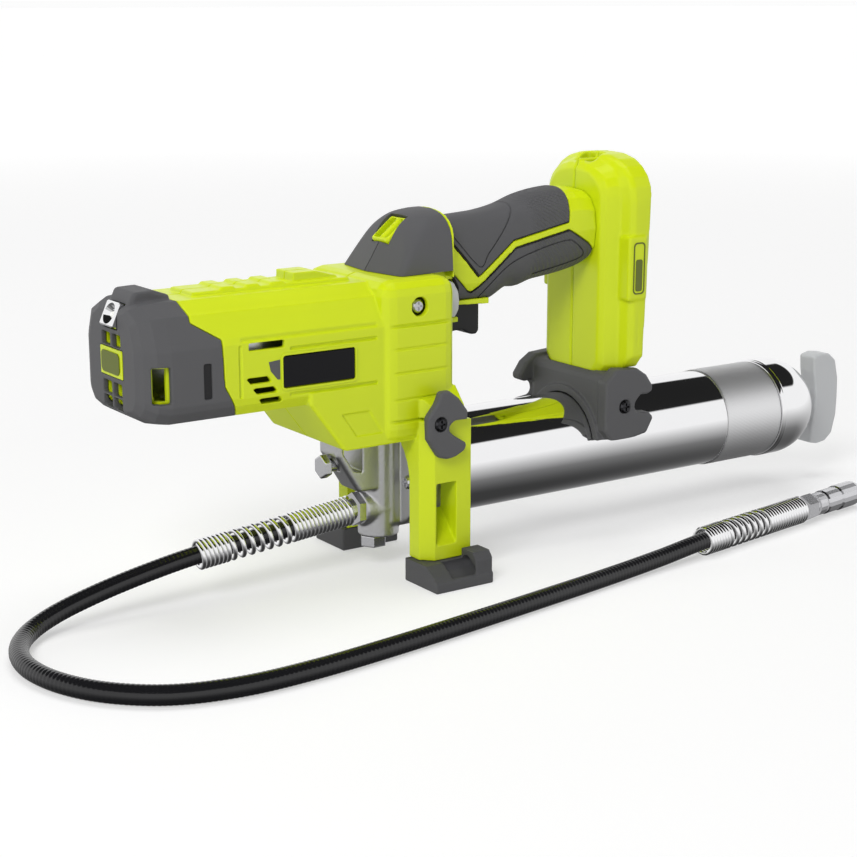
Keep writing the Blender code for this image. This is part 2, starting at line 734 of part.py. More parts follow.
def build_grips():
    for name, zone in (("upper_grip", UPPER_PAD), ("lower_grip", LOWER_PAD)):
        pad = grip_loft(name, 0)
        cut(pad, grip_loft(f"{name}_core", PAD - GAP))
        keep(pad, plate(f"{name}_zone", inset(zone, GAP), "XZ", -60, 60))
        cut(pad, block(f"{name}_dock_room", (33.5, 90), (-60, 60), (80, 230)),
            block(f"{name}_guard_room", (-60, -34.2), (-15, 15), (130, 143.9)))
        finish(pad, "dark")


# ---------------------------------------------------------------- controls

def build_controls():
    outline = [(-57, 146.5), (-57, 127.5), (-55.5, 125.2), (-51, 125.9), (-46.5, 125.6), (-43.5, 123.8),
               (-41, 122.8), (-37.6, 122.7), (-36.0, 124.6), (-36.0, 146.5)]
    trigger = plate("trigger", outline, "XZ", -7.0, 7.0)
    bevelled(trigger, 1.2, 2, 40)
    finish(trigger, "black")
    button = plate("lock_button", [(-64.2, 136), (-60.5, 136), (-58.2, 140), (-57.7, 145), (-58.4, 149.6),
                                   (-61.0, 154.3), (-64.2, 156)], "XZ", -19.5, 19.5)
    bevelled(button, 0.7, 1, 40)
    cut(button, block("lock_notch", (-62, -50), (-8, 8), (130, 160)))
    finish(button, "paint")
    switch = block("trigger_switch", (-52, -20), (-8, 8), (157, 176), 1, 1)
    join(switch, cylinder("switch_stem", 2.2, (-47, 0, 158), (0, 0, -1), 4, 12))
    finish(switch, "black")
    spring = wire("trigger_spring", helix((-53.8, 0, 148.0), (0, 0, 1), 1.9, 8.2, 3, 8), 0.4, 0)
    finish(spring, "steel")
    terminals = block("battery_terminals", (38.9, 45), (-12, 12), (163, 187), 0.8, 1)
    for y in (-8, 0, 8):
        blade = block(f"blade_{y}", (44, 53), (y - 0.6, y + 0.6), (170, 181))
        join(terminals, blade)
    finish(terminals, "black")


# ---------------------------------------------------------------- bracket, feet, hooks and screws

def build_feet():
    """A flared rubber foot with an upright at the rear that parks the coupler."""
    low, top = LEG_FOOT_Z - GAP, 17.6
    section = [(-LEG_IN, 0), (-FOOT_OUT, 0), (-FOOT_OUT, 5.2), (-57, 8.6), (-51, low), (-LEG_IN, low)]
    left = plate("foot_left", section, "YZ", *FOOT_X)
    wall = [(-LEG_OUT - 0.8, 2), (-LEG_OUT - 0.8, top), (-57.5, top), (-60.4, 14), (-60.4, 2)]
    join(left, plate("foot_wall", wall, "YZ", -75.5, FOOT_X[1] - 0.4))
    slot = PARK_SLOT
    cut(left, *[cylinder(f"park_end_{y}", PARK_R, (-90, y, z), (1, 0, 0), 40, 16) for y, z in slot])
    run = Vector(slot[1]) - Vector(slot[0])
    side = Vector((-run.y, run.x)).normalized() * (PARK_R * 0.98)
    band = [tuple(Vector(slot[0]) + side), tuple(Vector(slot[1]) + side), tuple(Vector(slot[1]) - side),
            tuple(Vector(slot[0]) - side)]
    cut(left, plate("park_band", band, "YZ", -90, -50))
    bevelled(left, 0.8, 1, 40)
    finish(left, "rubber")
    finish(mirrored(left, "foot_right"), "rubber")


# Outlines of the hooks, as (x, z)
FRONT_HOOK = [(-91.5, 104.6), (-86, 104.6), (-80, 100), (-74.5, 92.8), (-74.4, 88.4), (-82.0, 88.6),
              (-85.4, 86.6), (-86.2, 83.4), (-83.4, 80.8), (-75.1, 75.6), (-75.8, 72.4), (-81.7, 69.5),
              (-87.5, 68.5), (-92.6, 69.9), (-99.4, 80.1), (-99.8, 91.8), (-94.1, 98.7)]
REAR_HOOK = [(38, 99), (53, 98), (60, 93.5), (64.6, 87), (64.6, 84), (60.5, 82.2), (55.6, 82.6),
             (52.4, 79.5), (51.6, 75.8), (53.6, 72.6), (62.5, 71.6), (66, 68.2), (61, 59.6),
             (48, 57.5), (34, 58.5), (30, 64), (30, 92)]
SADDLE_X = (30.5, 55.6)


def build_hooks():
    left = plate("front_hook_left", FRONT_HOOK, "XZ", -FRONT_HOOK_Y[0], -FRONT_HOOK_Y[1])
    bevelled(left, 1.0, 1, 40)
    x, z = HOOK_SCREW
    cut(left, cylinder("front_hook_bore", 2.4, (x, -60, z), (0, 1, 0), 20, 16),
        cylinder("front_hook_head_seat", 4.0, (x, -60, z), (0, 1, 0), 10.6, 16))
    finish(left, "dark")
    finish(mirrored(left, "front_hook_right"), "dark")

    saddle = block("barrel_saddle", SADDLE_X, (-33.5, 33.5), (50, 96.5), 5, 3)
    near = plate("saddle_near_hook", REAR_HOOK, "XZ", -REAR_HOOK_Y[0], -REAR_HOOK_Y[1])
    span = sum(SADDLE_X) - 1.1          # the far hook is the near one turned to face the motor
    far = plate("saddle_far_hook", [(span - x, z) for x, z in REAR_HOOK], "XZ", *REAR_HOOK_Y)
    for hook in (near, far):
        bevelled(hook, 1.0, 1, 40)
    lip = ring("saddle_lip", TUBE_R - 1, 33.2, (28.4, 0, BARREL_Z), (1, 0, 0), 29, 40)
    join(saddle, near, far, lip)
    cut(saddle, cylinder("saddle_bore", TUBE_R + GAP, (0, 0, BARREL_Z), (1, 0, 0), 100, 40),
        block("saddle_open", (0, 90), (-60, 60), (-20, 58.2)),
        loft("dock_seat", [[(x, y * 1.012, z - 0.4) for x, y, z in dock_ring(*row)] for row in DOCK]))
    for side in (-1, 1):
        x, z = SADDLE_SCREW
        cut(saddle, cylinder(f"saddle_screw_seat_{side}", 4.0, (x, side * 60, z), (0, -side, 0), 24.0, 16),
            cylinder(f"saddle_screw_bore_{side}", 1.9, (x, side * 60, z), (0, -side, 0), 29.5, 16))
    finish(saddle, "dark")


def screw(name, spot, direction, head_r=3.6, head=2.2, shank_r=1.5, shank=5.0):
    """A cross-recess pan screw; direction points from the head along the shank."""
    body = turned(name, [(0, 0), (0, head_r * 0.72), (0.9, head_r), (head, head_r), (head, shank_r),
                         (head + shank, shank_r), (head + shank, 0)], spot, direction, 12)
    place = frame(spot, direction)
    for index, size in enumerate(((0.55, head_r * 0.62), (head_r * 0.62, 0.55))):
        slot = block(f"{name}_cross_{index}", (-size[0], size[0]), (-size[1], size[1]), (-1, 1.1))
        slot.data.transform(place)
        cut(body, slot)
    return finish(body, "steel")


def build_screws():
    screw("housing_screw_gear", (-97, -38.6, 148), (0, 1, 0), 3.6, 2.0, 1.5, 0.3)
    for side, word in ((-1, "left"), (1, "right")):
        inward = (0, -side, 0)
        x, z = HOOK_SCREW
        screw(f"front_hook_screw_{word}", (x, side * 51.8, z), inward, 3.6, 2.1, 1.9, 2.9)
        x, z = SADDLE_SCREW
        screw(f"saddle_screw_{word}", (x, side * 38.6, z), inward, 3.6, 2.2, 1.5, 4.8)
        screw(f"flange_screw_{word}", (FLANGE_X[0] - 2.4, side * 20, 50), (1, 0, 0), 3.8, 2.0, 1.8, 4.5)


# ---------------------------------------------------------------- drive

def gear_outline(teeth, root, tip, phase=0.0, root_share=0.54, tip_share=0.22):
    """Straight-sided teeth; the shares are the tooth's width over its pitch at root and tip."""
    points = []
    for k in range(teeth):
        mid = 2 * math.pi * k / teeth + phase
        pitch = 2 * math.pi / teeth
        for share, radius in ((-root_share, root), (-tip_share, tip), (tip_share, tip), (root_share, root)):
            angle = mid + share * pitch / 2
            points.append((radius * math.cos(angle), radius * math.sin(angle)))
    return points


def circle(radius, count):
    return [(radius * math.cos(2 * math.pi * k / count), radius * math.sin(2 * math.pi * k / count))
            for k in range(count)]


def gear_at(name, outlines, y, z):
    moved = [[(u + y, v + z) for u, v in outline] for outline in outlines]
    return plate(name, moved, "YZ", *GEAR_STAGE_X)


def build_drive():
    sun_pitch = MODULE * SUN_TEETH / 2
    planet_pitch = MODULE * PLANET_TEETH / 2
    ring_pitch = MODULE * RING_TEETH / 2
    up = math.pi / 2            # the first planet sits straight above the sun
    sun = gear_at("sun_pinion", [gear_outline(SUN_TEETH, sun_pitch - 1.05, sun_pitch + 0.7, up),
                                 circle(2.2, 16)], 0, MOTOR_Z)
    finish(sun, "steel")
    teeth = gear_outline(RING_TEETH, ring_pitch + 1.05, ring_pitch - 0.7, up)
    finish(gear_at("ring_gear", [circle(24.2, 36), teeth], 0, MOTOR_Z), "steel")
    pins = []
    for k in range(3):
        angle = up + 2 * math.pi * k / 3
        y = PLANET_ORBIT * math.cos(angle)
        z = MOTOR_Z + PLANET_ORBIT * math.sin(angle)
        pins.append((y, z))
        shape = gear_outline(PLANET_TEETH, planet_pitch - 1.05, planet_pitch + 0.7,
                             angle + math.pi / PLANET_TEETH)
        finish(gear_at(f"planet_gear_{k + 1}", [shape, circle(2.35, 12)], y, z), "steel")
    crank = turned("carrier_crank", [(0, 0), (0, 17.5), (4, 17.5), (4, 8.7), (12.4, 8.7), (12.4, 0)],
                   (-120.4, 0, MOTOR_Z), (1, 0, 0), 24)
    for index, (y, z) in enumerate(pins):
        join(crank, cylinder(f"planet_pin_{index}", 2.0, (-131.5, y, z), (1, 0, 0), 12.5, 12))
    join(crank, cylinder("crank_pin", 3.0, (-109, 0, MOTOR_Z + CRANK_R), (1, 0, 0), 14.0, 20))
    finish(crank, "steel")
    finish(ring("crank_bearing", 9.0, 15.0, (-115.8, 0, MOTOR_Z), (1, 0, 0), 6.5, 32), "steel")
    case = [(0, 8), (0, 25.8), (23, 25.8), (26.5, 22), (26.5, 15.35), (18.6, 15.35), (18.6, 19),
            (14.6, 24.55),
            (2.2, 24.55), (2.2, 8)]
    finish(turned("gear_case", case, (-134.5, 0, MOTOR_Z), (1, 0, 0), 28), "cast")
    can = [(0, 4.5), (0, 24), (60, 24), (60, 4.5), (58.6, 4.5), (58.6, 22.6), (1.4, 22.6), (1.4, 4.5)]
    finish(turned("motor_can", can, (-222, 0, MOTOR_Z), (1, 0, 0), 24), "steel")
    rotor = [(0, 0), (0, 2.0), (14, 2.0), (14, 7.5), (23, 7.5), (23, 14.5), (53, 14.5), (53, 2.0),
             (67, 2.0), (67, 22), (69, 22), (69, 6), (76, 6), (76, 1.85), (107, 1.85), (107, 0)]
    shaft = turned("rotor", rotor, (-228, 0, MOTOR_Z), (1, 0, 0), 18)
    for k in range(8):
        blade = block(f"fan_blade_{k}", (-159.6, -152.5), (-0.7, 0.7), (5, 21))
        turn = Matrix.Translation((0, 0, MOTOR_Z * MM)) @ Matrix.Rotation(2 * math.pi * k / 8, 4, "X")
        blade.data.transform(turn)
        join(shaft, blade)
    finish(shaft, "copper")


# ---------------------------------------------------------------- pump head

def build_pump():
    head = turned("pump_head", [(0, 0), (0, 29.3), (1.0, FLANGE_R), (22, FLANGE_R), (22, TUBE_R + GAP),
                                (7, TUBE_R + GAP), (7, 0)], (FLANGE_X[0], 0, BARREL_Z), (1, 0, 0), 40)
    column = cylinder("pump_column", 11.2, (PLUNGER_X + 3.4, 0, COLUMN_Z[0]), (0, 0, 1),
                      COLUMN_Z[1] - COLUMN_Z[0], 24)
    web = block("pump_web", (-98, -88.6), (-12.1, 12.1), (24, 92), 2.5, 2)
    bracket = plate("pump_bracket", [(-129, 96), (-129, 66.5), (-115.5, 45), (-100, 45), (-100, 96)], "XZ",
                    -9.6, 9.6)
    bevelled(bracket, 2.0, 2, 40)
    boss = turned("outlet_boss", [(0, 0), (0, 12.4), (6, 12.0), (12, 11.0), (16, 10.0), (21.4, 9.4),
                                  (22, 8.8),
                                    (22, 0)],
                  (-88, 0, OUTLET_Z), (-1, 0, 0), 28)
    join(head, column, web, bracket, boss)
    window = [(-125.4, 84), (-125.4, 68.5), (-118.6, 57.6), (-113.4, 56.4), (-113.4, 84)]
    cut(head, plate("bracket_window", window, "XZ", -20, 20),
        cylinder("plunger_bore", PLUNGER_R + 0.3, (PLUNGER_X, 0, 42), (0, 0, 1), 70, 20),
        cylinder("outlet_bore", 2.2, (-130, 0, OUTLET_Z), (1, 0, 0), 29, 14),
        cylinder("valve_bore", 3.0, (PLUNGER_X, 0, 26), (0, 0, 1), 17, 14),
        cylinder("plug_bore", 4.3, (PLUNGER_X, 0, 11), (0, 0, 1), 16, 16),
        cylinder("inlet_bore", 4.0, (PLUNGER_X, 0, 56), (1, 0, 0), 30, 16),
        cylinder("bleeder_bore", 3.8, (-140, 1, 60), (1, 0, 0), 20, 16))
    for side in (-1, 1):
        cut(head, cylinder(f"flange_bore_{side}", 2.15, (-96, side * 20, 50), (1, 0, 0), 20, 12),
            cylinder(f"flange_seat_{side}", 5.2, (-100, side * 20, 50), (1, 0, 0), 8.75, 16))
    finish(head, "cast")

    plug = hexagon("relief_plug", 13.0, (PLUNGER_X, 0, COLUMN_Z[0] - GAP), (0, 0, -1), 6.0)
    join(plug, cylinder("plug_stem", 4.0, (PLUNGER_X, 0, COLUMN_Z[0] - 1), (0, 0, 1), 8, 16))
    finish(plug, "steel")
    valve = hexagon("bleeder_valve", 11.6, (-133.4, 1, 60), (1, 0, 0), 4.4)
    join(valve, cylinder("bleeder_stem", 3.5, (-130, 1, 60), (1, 0, 0), 9.0, 16))
    bevelled(valve, 0.5, 1, 40)
    finish(valve, "steel")

    yoke = block("yoke_plunger", (-104, -98), (-13, 13), (108, 151), 1, 1)
    cut(yoke, block("yoke_window", (-110, -90), (-9.5, 9.5), (115.5, 146.5), 0.8, 1))
    join(yoke, cylinder("plunger_rod", PLUNGER_R, (PLUNGER_X, 0, 50), (0, 0, 1), 60, 20))
    finish(yoke, "steel")


# ---------------------------------------------------------------- barrel

def build_barrel():
    inner = TUBE_R - TUBE_WALL
    finish(ring("barrel_tube", inner, TUBE_R, (TUBE_X[0], 0, BARREL_Z), (1, 0, 0), TUBE_X[1] - TUBE_X[0],
                36), "chrome")
    finish(ring("knurled_collar", TUBE_R + 0.3, TUBE_R + 0.75, (KNURL_X[0], 0, BARREL_Z), (1, 0, 0),
                KNURL_X[1] - KNURL_X[0], 36), "satin")
    wall, knee = 1.4, 12.9                      # the cap runs straight to the knee, then domes over
    outer = [(0, 27.2), (0, 29.2), (0.8, TUBE_R + 1.5), (3.0, TUBE_R + 1.5)]
    inner_line = [(3.0, 27.2)]
    for k in range(7):
        angle = math.radians(12.2 * k)
        for line, radius in ((outer, TUBE_R + 1.5), (inner_line, TUBE_R + 1.5 - wall)):
            line.append((knee + radius * math.sin(angle), radius * math.cos(angle)))
    length = CAP_X[1] - CAP_X[0]
    outer.append((length, 4.5))
    hollow = [(length - wall, 4.5)] + list(reversed(inner_line))
    finish(turned("end_cap", outer + hollow, (CAP_X[0], 0, BARREL_Z), (1, 0, 0), 32), "chrome")

    piston = [(0, 0), (0, 22), (2, 26.6), (10, 27.1), (10, 24), (5, 20), (5, 7.5), (11, 7.5), (11, 0)]
    finish(turned("follower_piston", piston, (-74, 0, BARREL_Z), (1, 0, 0), 24), "black")
    finish(cylinder("follower_rod", ROD_R, (-62.6, 0, BARREL_Z), (1, 0, 0), 290.2, 16), "chrome")
    coil = helix((-65, 0, BARREL_Z), (1, 0, 0), SPRING_R, 236, 8, 9)
    finish(wire("follower_spring", coil, 1.1, 0), "steel")

    outline = [(226.6, 24), (227.4, 34), (229.6, 44), (230.4, 52), (229.6, 60), (227.4, 70), (226.6, 80),
               (233, 81.5), (241, 80.5), (246.5, 76), (249.6, 64), (T_HANDLE_END_X, 52), (249.6, 40),
               (246.5, 28), (241, 23.5), (233, 22.5)]
    handle = plate("t_handle", outline, "XZ", -6.5, 6.5)
    bevelled(handle, 3.2, 3, 50)
    finish(handle, "paint")


# ---------------------------------------------------------------- hose

def near_point(distance):
    """A point on the near guard's axis, at a distance from the nut."""
    return (FITTING_X - FITTING_HEX - distance * math.cos(DROOP), 0.0,
            OUTLET_Z - 0.1 - distance * math.sin(DROOP))


def far_point(distance):
    """A point on the far end's axis; positive distances lead towards the coupler."""
    return (FAR_END[0] + distance * math.cos(FAR_ANGLE), FAR_END[1] + distance * math.sin(FAR_ANGLE),
            FAR_END[2])


NEAR_DIRECTION = (-math.cos(DROOP), 0.0, -math.sin(DROOP))
FAR_DIRECTION = (math.cos(FAR_ANGLE), math.sin(FAR_ANGLE), 0.0)


def hose_route():
    """Points that the hose passes through, from the pump head to the coupler."""
    return [near_point(1.5), near_point(30), near_point(62), near_point(GUARD_LENGTH),
            (-237, 0, 20.4), (-263, -0.5, 15.2), (-286, -2.5, 9.6), (-304, -11, 5.6), (-316, -29, 4.9),
            (-320.5, -52, 4.9), (-316, -77, 4.9), (-303, -100, 4.9), (-281, -118, 4.9), (-251, -126.5, 4.9),
            (-215, -127, 4.9), (-170, -122.5, 4.9), (-120, -115.5, 4.9), (-66, -107, 4.9),
            (-20, -99.5, 5.0), (22, -93.5, 6.2), far_point(-GUARD_LENGTH), far_point(-62),
            far_point(-30), far_point(-1.5)]


def build_hose():
    nut = hexagon("hose_fitting", 16.2, (FITTING_X, 0, OUTLET_Z), (-1, 0, 0), FITTING_HEX)
    ferrule = ring("near_ferrule", HOSE_R + 0.35, GUARD_R[0] - 0.35, near_point(-1.2), NEAR_DIRECTION, 27,
                   20)
    join(nut, ferrule)
    finish(nut, "steel")
    guard = ring("guard_spring_near", GUARD_R[0], GUARD_R[1], near_point(1.2), NEAR_DIRECTION,
                 GUARD_LENGTH - 1.2, 24)
    finish(guard, "chrome")
    finish(wire("hose", smooth_path(hose_route(), 21.0), HOSE_R, 2), "hose")
    guard = ring("guard_spring_far", GUARD_R[0], GUARD_R[1], far_point(-GUARD_LENGTH), FAR_DIRECTION,
                 GUARD_LENGTH - 0.4, 24)
    finish(guard, "chrome")
    nut = hexagon("hose_end_fitting", 14.0, far_point(0), FAR_DIRECTION, 9.0)
    ferrule = ring("far_ferrule", HOSE_R + 0.35, GUARD_R[0] - 0.35, far_point(1.2),
                   [-c for c in FAR_DIRECTION], 27, 20)
    join(nut, ferrule)
    finish(nut, "steel")
    adapter = turned("coupler_adapter", [(0, 0), (0, 5.2), (1.5, 5.6), (3, 5.6), (3, 6.8), (9.5, 6.8),
                                         (11, 6.0),
                                         (11, 0)], far_point(9.3), FAR_DIRECTION, 20)
    finish(adapter, "steel")
    jaws = [(0, 0), (0, 6.4), (1, 7.2), (12, 7.2), (12.8, 6.7), (14, 6.7), (14.8, 7.6), (30, 7.6),
            (33, 6.9), (34, 5.8),
            (34, 2.6), (26, 2.6), (26, 0)]
    finish(turned("coupler", jaws, far_point(20.6), FAR_DIRECTION, 18), "steel")


# ---------------------------------------------------------------- build

clear_scene()
PARTS = collection("grease_gun")
CUTTERS = collection("cutters")
build_casing()
build_nose()
build_trim()
build_top_cap()
build_grips()
build_controls()
build_feet()
build_hooks()
build_screws()
build_drive()
build_pump()
build_barrel()
build_hose()
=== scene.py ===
"""Looks for the cordless grease gun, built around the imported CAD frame.

Lengths are in millimetres in the drawing values and are turned into metres where meshes are made. The
frame is the CAD's: +X from the motor nose to the T-handle, +Z up, and the camera stands on the -Y side.
"""
import math

import bmesh
import bpy
import numpy as np
from mathutils import Matrix, Vector


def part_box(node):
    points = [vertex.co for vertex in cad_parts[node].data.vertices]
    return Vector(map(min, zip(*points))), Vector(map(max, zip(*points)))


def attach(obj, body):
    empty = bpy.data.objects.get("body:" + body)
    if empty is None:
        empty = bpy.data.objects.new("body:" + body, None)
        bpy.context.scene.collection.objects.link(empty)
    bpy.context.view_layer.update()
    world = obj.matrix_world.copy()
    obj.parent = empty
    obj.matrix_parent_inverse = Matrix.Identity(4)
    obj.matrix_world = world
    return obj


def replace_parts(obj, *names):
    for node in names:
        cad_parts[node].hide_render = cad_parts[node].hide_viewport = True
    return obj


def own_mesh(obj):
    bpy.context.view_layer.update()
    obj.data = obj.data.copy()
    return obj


MM = 0.001
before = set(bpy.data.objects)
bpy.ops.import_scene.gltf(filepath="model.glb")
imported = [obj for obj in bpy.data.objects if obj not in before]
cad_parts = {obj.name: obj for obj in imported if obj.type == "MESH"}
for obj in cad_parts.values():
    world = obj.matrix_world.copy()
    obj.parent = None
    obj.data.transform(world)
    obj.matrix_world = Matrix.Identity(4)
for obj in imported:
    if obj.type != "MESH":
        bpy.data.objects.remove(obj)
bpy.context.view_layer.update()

BARREL_Z = 52.0

# Camera, lights and floor, in metres and degrees
CAMERA_PLACE = (-0.6058, -0.7902, 0.3026)
CAMERA_AZIMUTH, CAMERA_DROP = 34.41, 13.55
CAMERA_LENS = 75.6
AIM = (0, 0, 0.1)
KEY_PLACE, KEY_SIZE, KEY_POWER = (-1.7, -1.2, 1.7), (1.0, 1.0), 40.0
TOP_PLACE, TOP_SIZE, TOP_POWER = (0.1, 0.2, 2.0), (1.6, 1.2), 24.0
SOFT_STRENGTH, SHEEN_STRENGTH = 0.5, 1.2      # the surround as soft light, and as what other rays see
FLOOR_HALF = 40.0
FLOOR_GLOW = (0.46, 0.86)                     # the floor's own light near the object and far from it
GLOW_REACH = (0.4, 3.0)                       # distances over which the glow rises
# Brightness of the surround by the height of its direction, from straight down (-1) to straight up (1)
WORLD_BANDS = ((-0.80, 0.04), (-0.55, 0.16), (-0.25, 0.50), (0.0, 0.82), (0.55, 0.82), (0.58, 0.015))


# ---------------------------------------------------------------- camera, floor and light

def place_camera():
    data = bpy.data.cameras.new("camera")
    data.sensor_width = 36.0
    data.lens = CAMERA_LENS
    data.clip_start = 0.05
    data.clip_end = 50.0
    camera = bpy.data.objects.new("camera", data)
    azimuth, drop = math.radians(CAMERA_AZIMUTH), math.radians(CAMERA_DROP)
    level = math.cos(drop)
    forward = Vector((math.sin(azimuth) * level, math.cos(azimuth) * level, -math.sin(drop)))
    camera.rotation_euler = forward.to_track_quat("-Z", "Y").to_euler()
    camera.location = CAMERA_PLACE
    bpy.context.scene.collection.objects.link(camera)
    bpy.context.scene.camera = camera


def area_light(name, location, size, power):
    """A soft light aimed at the object. Mirrors don't show it."""
    data = bpy.data.lights.new(name, "AREA")
    data.shape = "RECTANGLE"
    data.size, data.size_y = size
    data.energy = power
    light = bpy.data.objects.new(name, data)
    light.location = location
    light.rotation_euler = (Vector(AIM) - Vector(location)).to_track_quat("-Z", "Y").to_euler()
    light.visible_glossy = False
    bpy.context.scene.collection.objects.link(light)


def light_studio():
    """A bright surround that is dark straight up and straight down, which is what the chrome shows."""
    world = bpy.data.worlds.new("studio")
    bpy.context.scene.world = world
    world.use_nodes = True
    nodes, links = world.node_tree.nodes, world.node_tree.links
    background = nodes["Background"]
    coords = nodes.new("ShaderNodeTexCoord")
    split = nodes.new("ShaderNodeSeparateXYZ")
    links.new(coords.outputs["Generated"], split.inputs[0])
    height = nodes.new("ShaderNodeMapRange")
    height.inputs["From Min"].default_value = -1.0
    links.new(split.outputs["Z"], height.inputs["Value"])
    ramp = nodes.new("ShaderNodeValToRGB")
    ramp.color_ramp.elements[0].position = 0.0
    ramp.color_ramp.elements[0].color = (0.03, 0.03, 0.03, 1)
    ramp.color_ramp.elements[1].position = 1.0
    ramp.color_ramp.elements[1].color = (0.012, 0.012, 0.012, 1)
    for direction, value in WORLD_BANDS:
        stop = ramp.color_ramp.elements.new((direction + 1) / 2)
        stop.color = (value, value, value, 1)
    links.new(height.outputs["Result"], ramp.inputs["Fac"])
    links.new(ramp.outputs["Color"], background.inputs["Color"])
    path = nodes.new("ShaderNodeLightPath")
    strength = nodes.new("ShaderNodeMapRange")
    strength.inputs["To Min"].default_value = SHEEN_STRENGTH
    strength.inputs["To Max"].default_value = SOFT_STRENGTH
    links.new(path.outputs["Is Diffuse Ray"], strength.inputs["Value"])
    links.new(strength.outputs["Result"], background.inputs["Strength"])
    area_light("key", KEY_PLACE, KEY_SIZE, KEY_POWER)
    area_light("top", TOP_PLACE, TOP_SIZE, TOP_POWER)


def lay_floor():
    """A pale floor whose own light grows with distance, so that it meets the white surround."""
    bm = bmesh.new()
    bmesh.ops.create_grid(bm, x_segments=1, y_segments=1, size=FLOOR_HALF)
    mesh = mesh_of("floor", bm)
    floor = bpy.data.objects.new("floor", mesh)
    bpy.context.scene.collection.objects.link(floor)
    white = new_material("floor_white", (0.5, 0.5, 0.5), 0.8)
    nodes, links = white.node_tree.nodes, white.node_tree.links
    shader = nodes["Principled BSDF"]
    shader.inputs["Emission Color"].default_value = (1, 1, 1, 1)
    coords = nodes.new("ShaderNodeTexCoord")
    reach = nodes.new("ShaderNodeVectorMath")
    reach.operation = "LENGTH"
    links.new(coords.outputs["Object"], reach.inputs[0])
    glow = nodes.new("ShaderNodeMapRange")
    glow.inputs["From Min"].default_value, glow.inputs["From Max"].default_value = GLOW_REACH
    glow.inputs["To Min"].default_value, glow.inputs["To Max"].default_value = FLOOR_GLOW
    links.new(reach.outputs["Value"], glow.inputs["Value"])
    links.new(glow.outputs["Result"], shader.inputs["Emission Strength"])
    mesh.materials.append(white)
    floor.visible_glossy = False


# ---------------------------------------------------------------- materials

def new_material(name, color, roughness, metallic=0.0, coat=0.0, specular=0.5):
    mat = bpy.data.materials.new(name)
    mat.use_nodes = True
    shader = mat.node_tree.nodes["Principled BSDF"]
    shader.inputs["Base Color"].default_value = (*color, 1.0)
    shader.inputs["Roughness"].default_value = roughness
    shader.inputs["Metallic"].default_value = metallic
    shader.inputs["Coat Weight"].default_value = coat
    shader.inputs["Specular IOR Level"].default_value = specular
    return mat


CLOUD_SCALE = 25                    # of the soft variation in colour and roughness


def grained(mat, color, tint, tint_scale, grain_scale, grain_depth, roughness, spread):
    """Mottle a material's colour and roughness and give it a fine moulded or cast grain."""
    nodes, links = mat.node_tree.nodes, mat.node_tree.links
    shader = nodes["Principled BSDF"]
    coords = nodes.new("ShaderNodeTexCoord")
    cloud = nodes.new("ShaderNodeTexNoise")
    cloud.inputs["Scale"].default_value = tint_scale
    cloud.inputs["Detail"].default_value = 4.0
    links.new(coords.outputs["Object"], cloud.inputs["Vector"])
    mix = nodes.new("ShaderNodeMix")
    mix.data_type = "RGBA"
    mix.inputs["A"].default_value = (*[c * (1 - tint) for c in color], 1)
    mix.inputs["B"].default_value = (*[min(1, c * (1 + tint)) for c in color], 1)
    links.new(cloud.outputs["Fac"], mix.inputs["Factor"])
    links.new(mix.outputs["Result"], shader.inputs["Base Color"])
    band = nodes.new("ShaderNodeMapRange")
    band.inputs["To Min"].default_value = roughness - spread
    band.inputs["To Max"].default_value = roughness + spread
    links.new(cloud.outputs["Fac"], band.inputs["Value"])
    links.new(band.outputs["Result"], shader.inputs["Roughness"])
    grain = nodes.new("ShaderNodeTexNoise")
    grain.inputs["Scale"].default_value = grain_scale
    grain.inputs["Detail"].default_value = 3.0
    links.new(coords.outputs["Object"], grain.inputs["Vector"])
    bump = nodes.new("ShaderNodeBump")
    bump.inputs["Strength"].default_value = 1.0
    bump.inputs["Distance"].default_value = grain_depth * MM
    links.new(grain.outputs["Fac"], bump.inputs["Height"])
    links.new(bump.outputs["Normal"], shader.inputs["Normal"])
    return mat


HATCH_SCALE, HATCH_DEPTH = 190.0, 0.4
HATCH_START = (-0.012, -0.006)      # x, in metres, over which the hatching fades in


def hatched(mat):
    """Add the fine slanting hatching of the rear part of the grips."""
    nodes, links = mat.node_tree.nodes, mat.node_tree.links
    shader = nodes["Principled BSDF"]
    grain = next(n for n in nodes if n.type == "BUMP")
    coords = nodes.new("ShaderNodeTexCoord")
    weave = nodes.new("ShaderNodeTexWave")
    weave.wave_type = "BANDS"
    weave.bands_direction = "DIAGONAL"
    weave.inputs["Scale"].default_value = HATCH_SCALE
    weave.inputs["Distortion"].default_value = 1.5
    links.new(coords.outputs["Object"], weave.inputs["Vector"])
    split = nodes.new("ShaderNodeSeparateXYZ")
    links.new(coords.outputs["Object"], split.inputs[0])
    mask = nodes.new("ShaderNodeMapRange")
    mask.inputs["From Min"].default_value, mask.inputs["From Max"].default_value = HATCH_START
    links.new(split.outputs["X"], mask.inputs["Value"])
    product = nodes.new("ShaderNodeMath")
    product.operation = "MULTIPLY"
    links.new(weave.outputs["Fac"], product.inputs[0])
    links.new(mask.outputs["Result"], product.inputs[1])
    bump = nodes.new("ShaderNodeBump")
    bump.inputs["Distance"].default_value = HATCH_DEPTH * MM
    links.new(product.outputs[0], bump.inputs["Height"])
    links.new(grain.outputs["Normal"], bump.inputs["Normal"])
    links.new(bump.outputs["Normal"], shader.inputs["Normal"])
    return mat


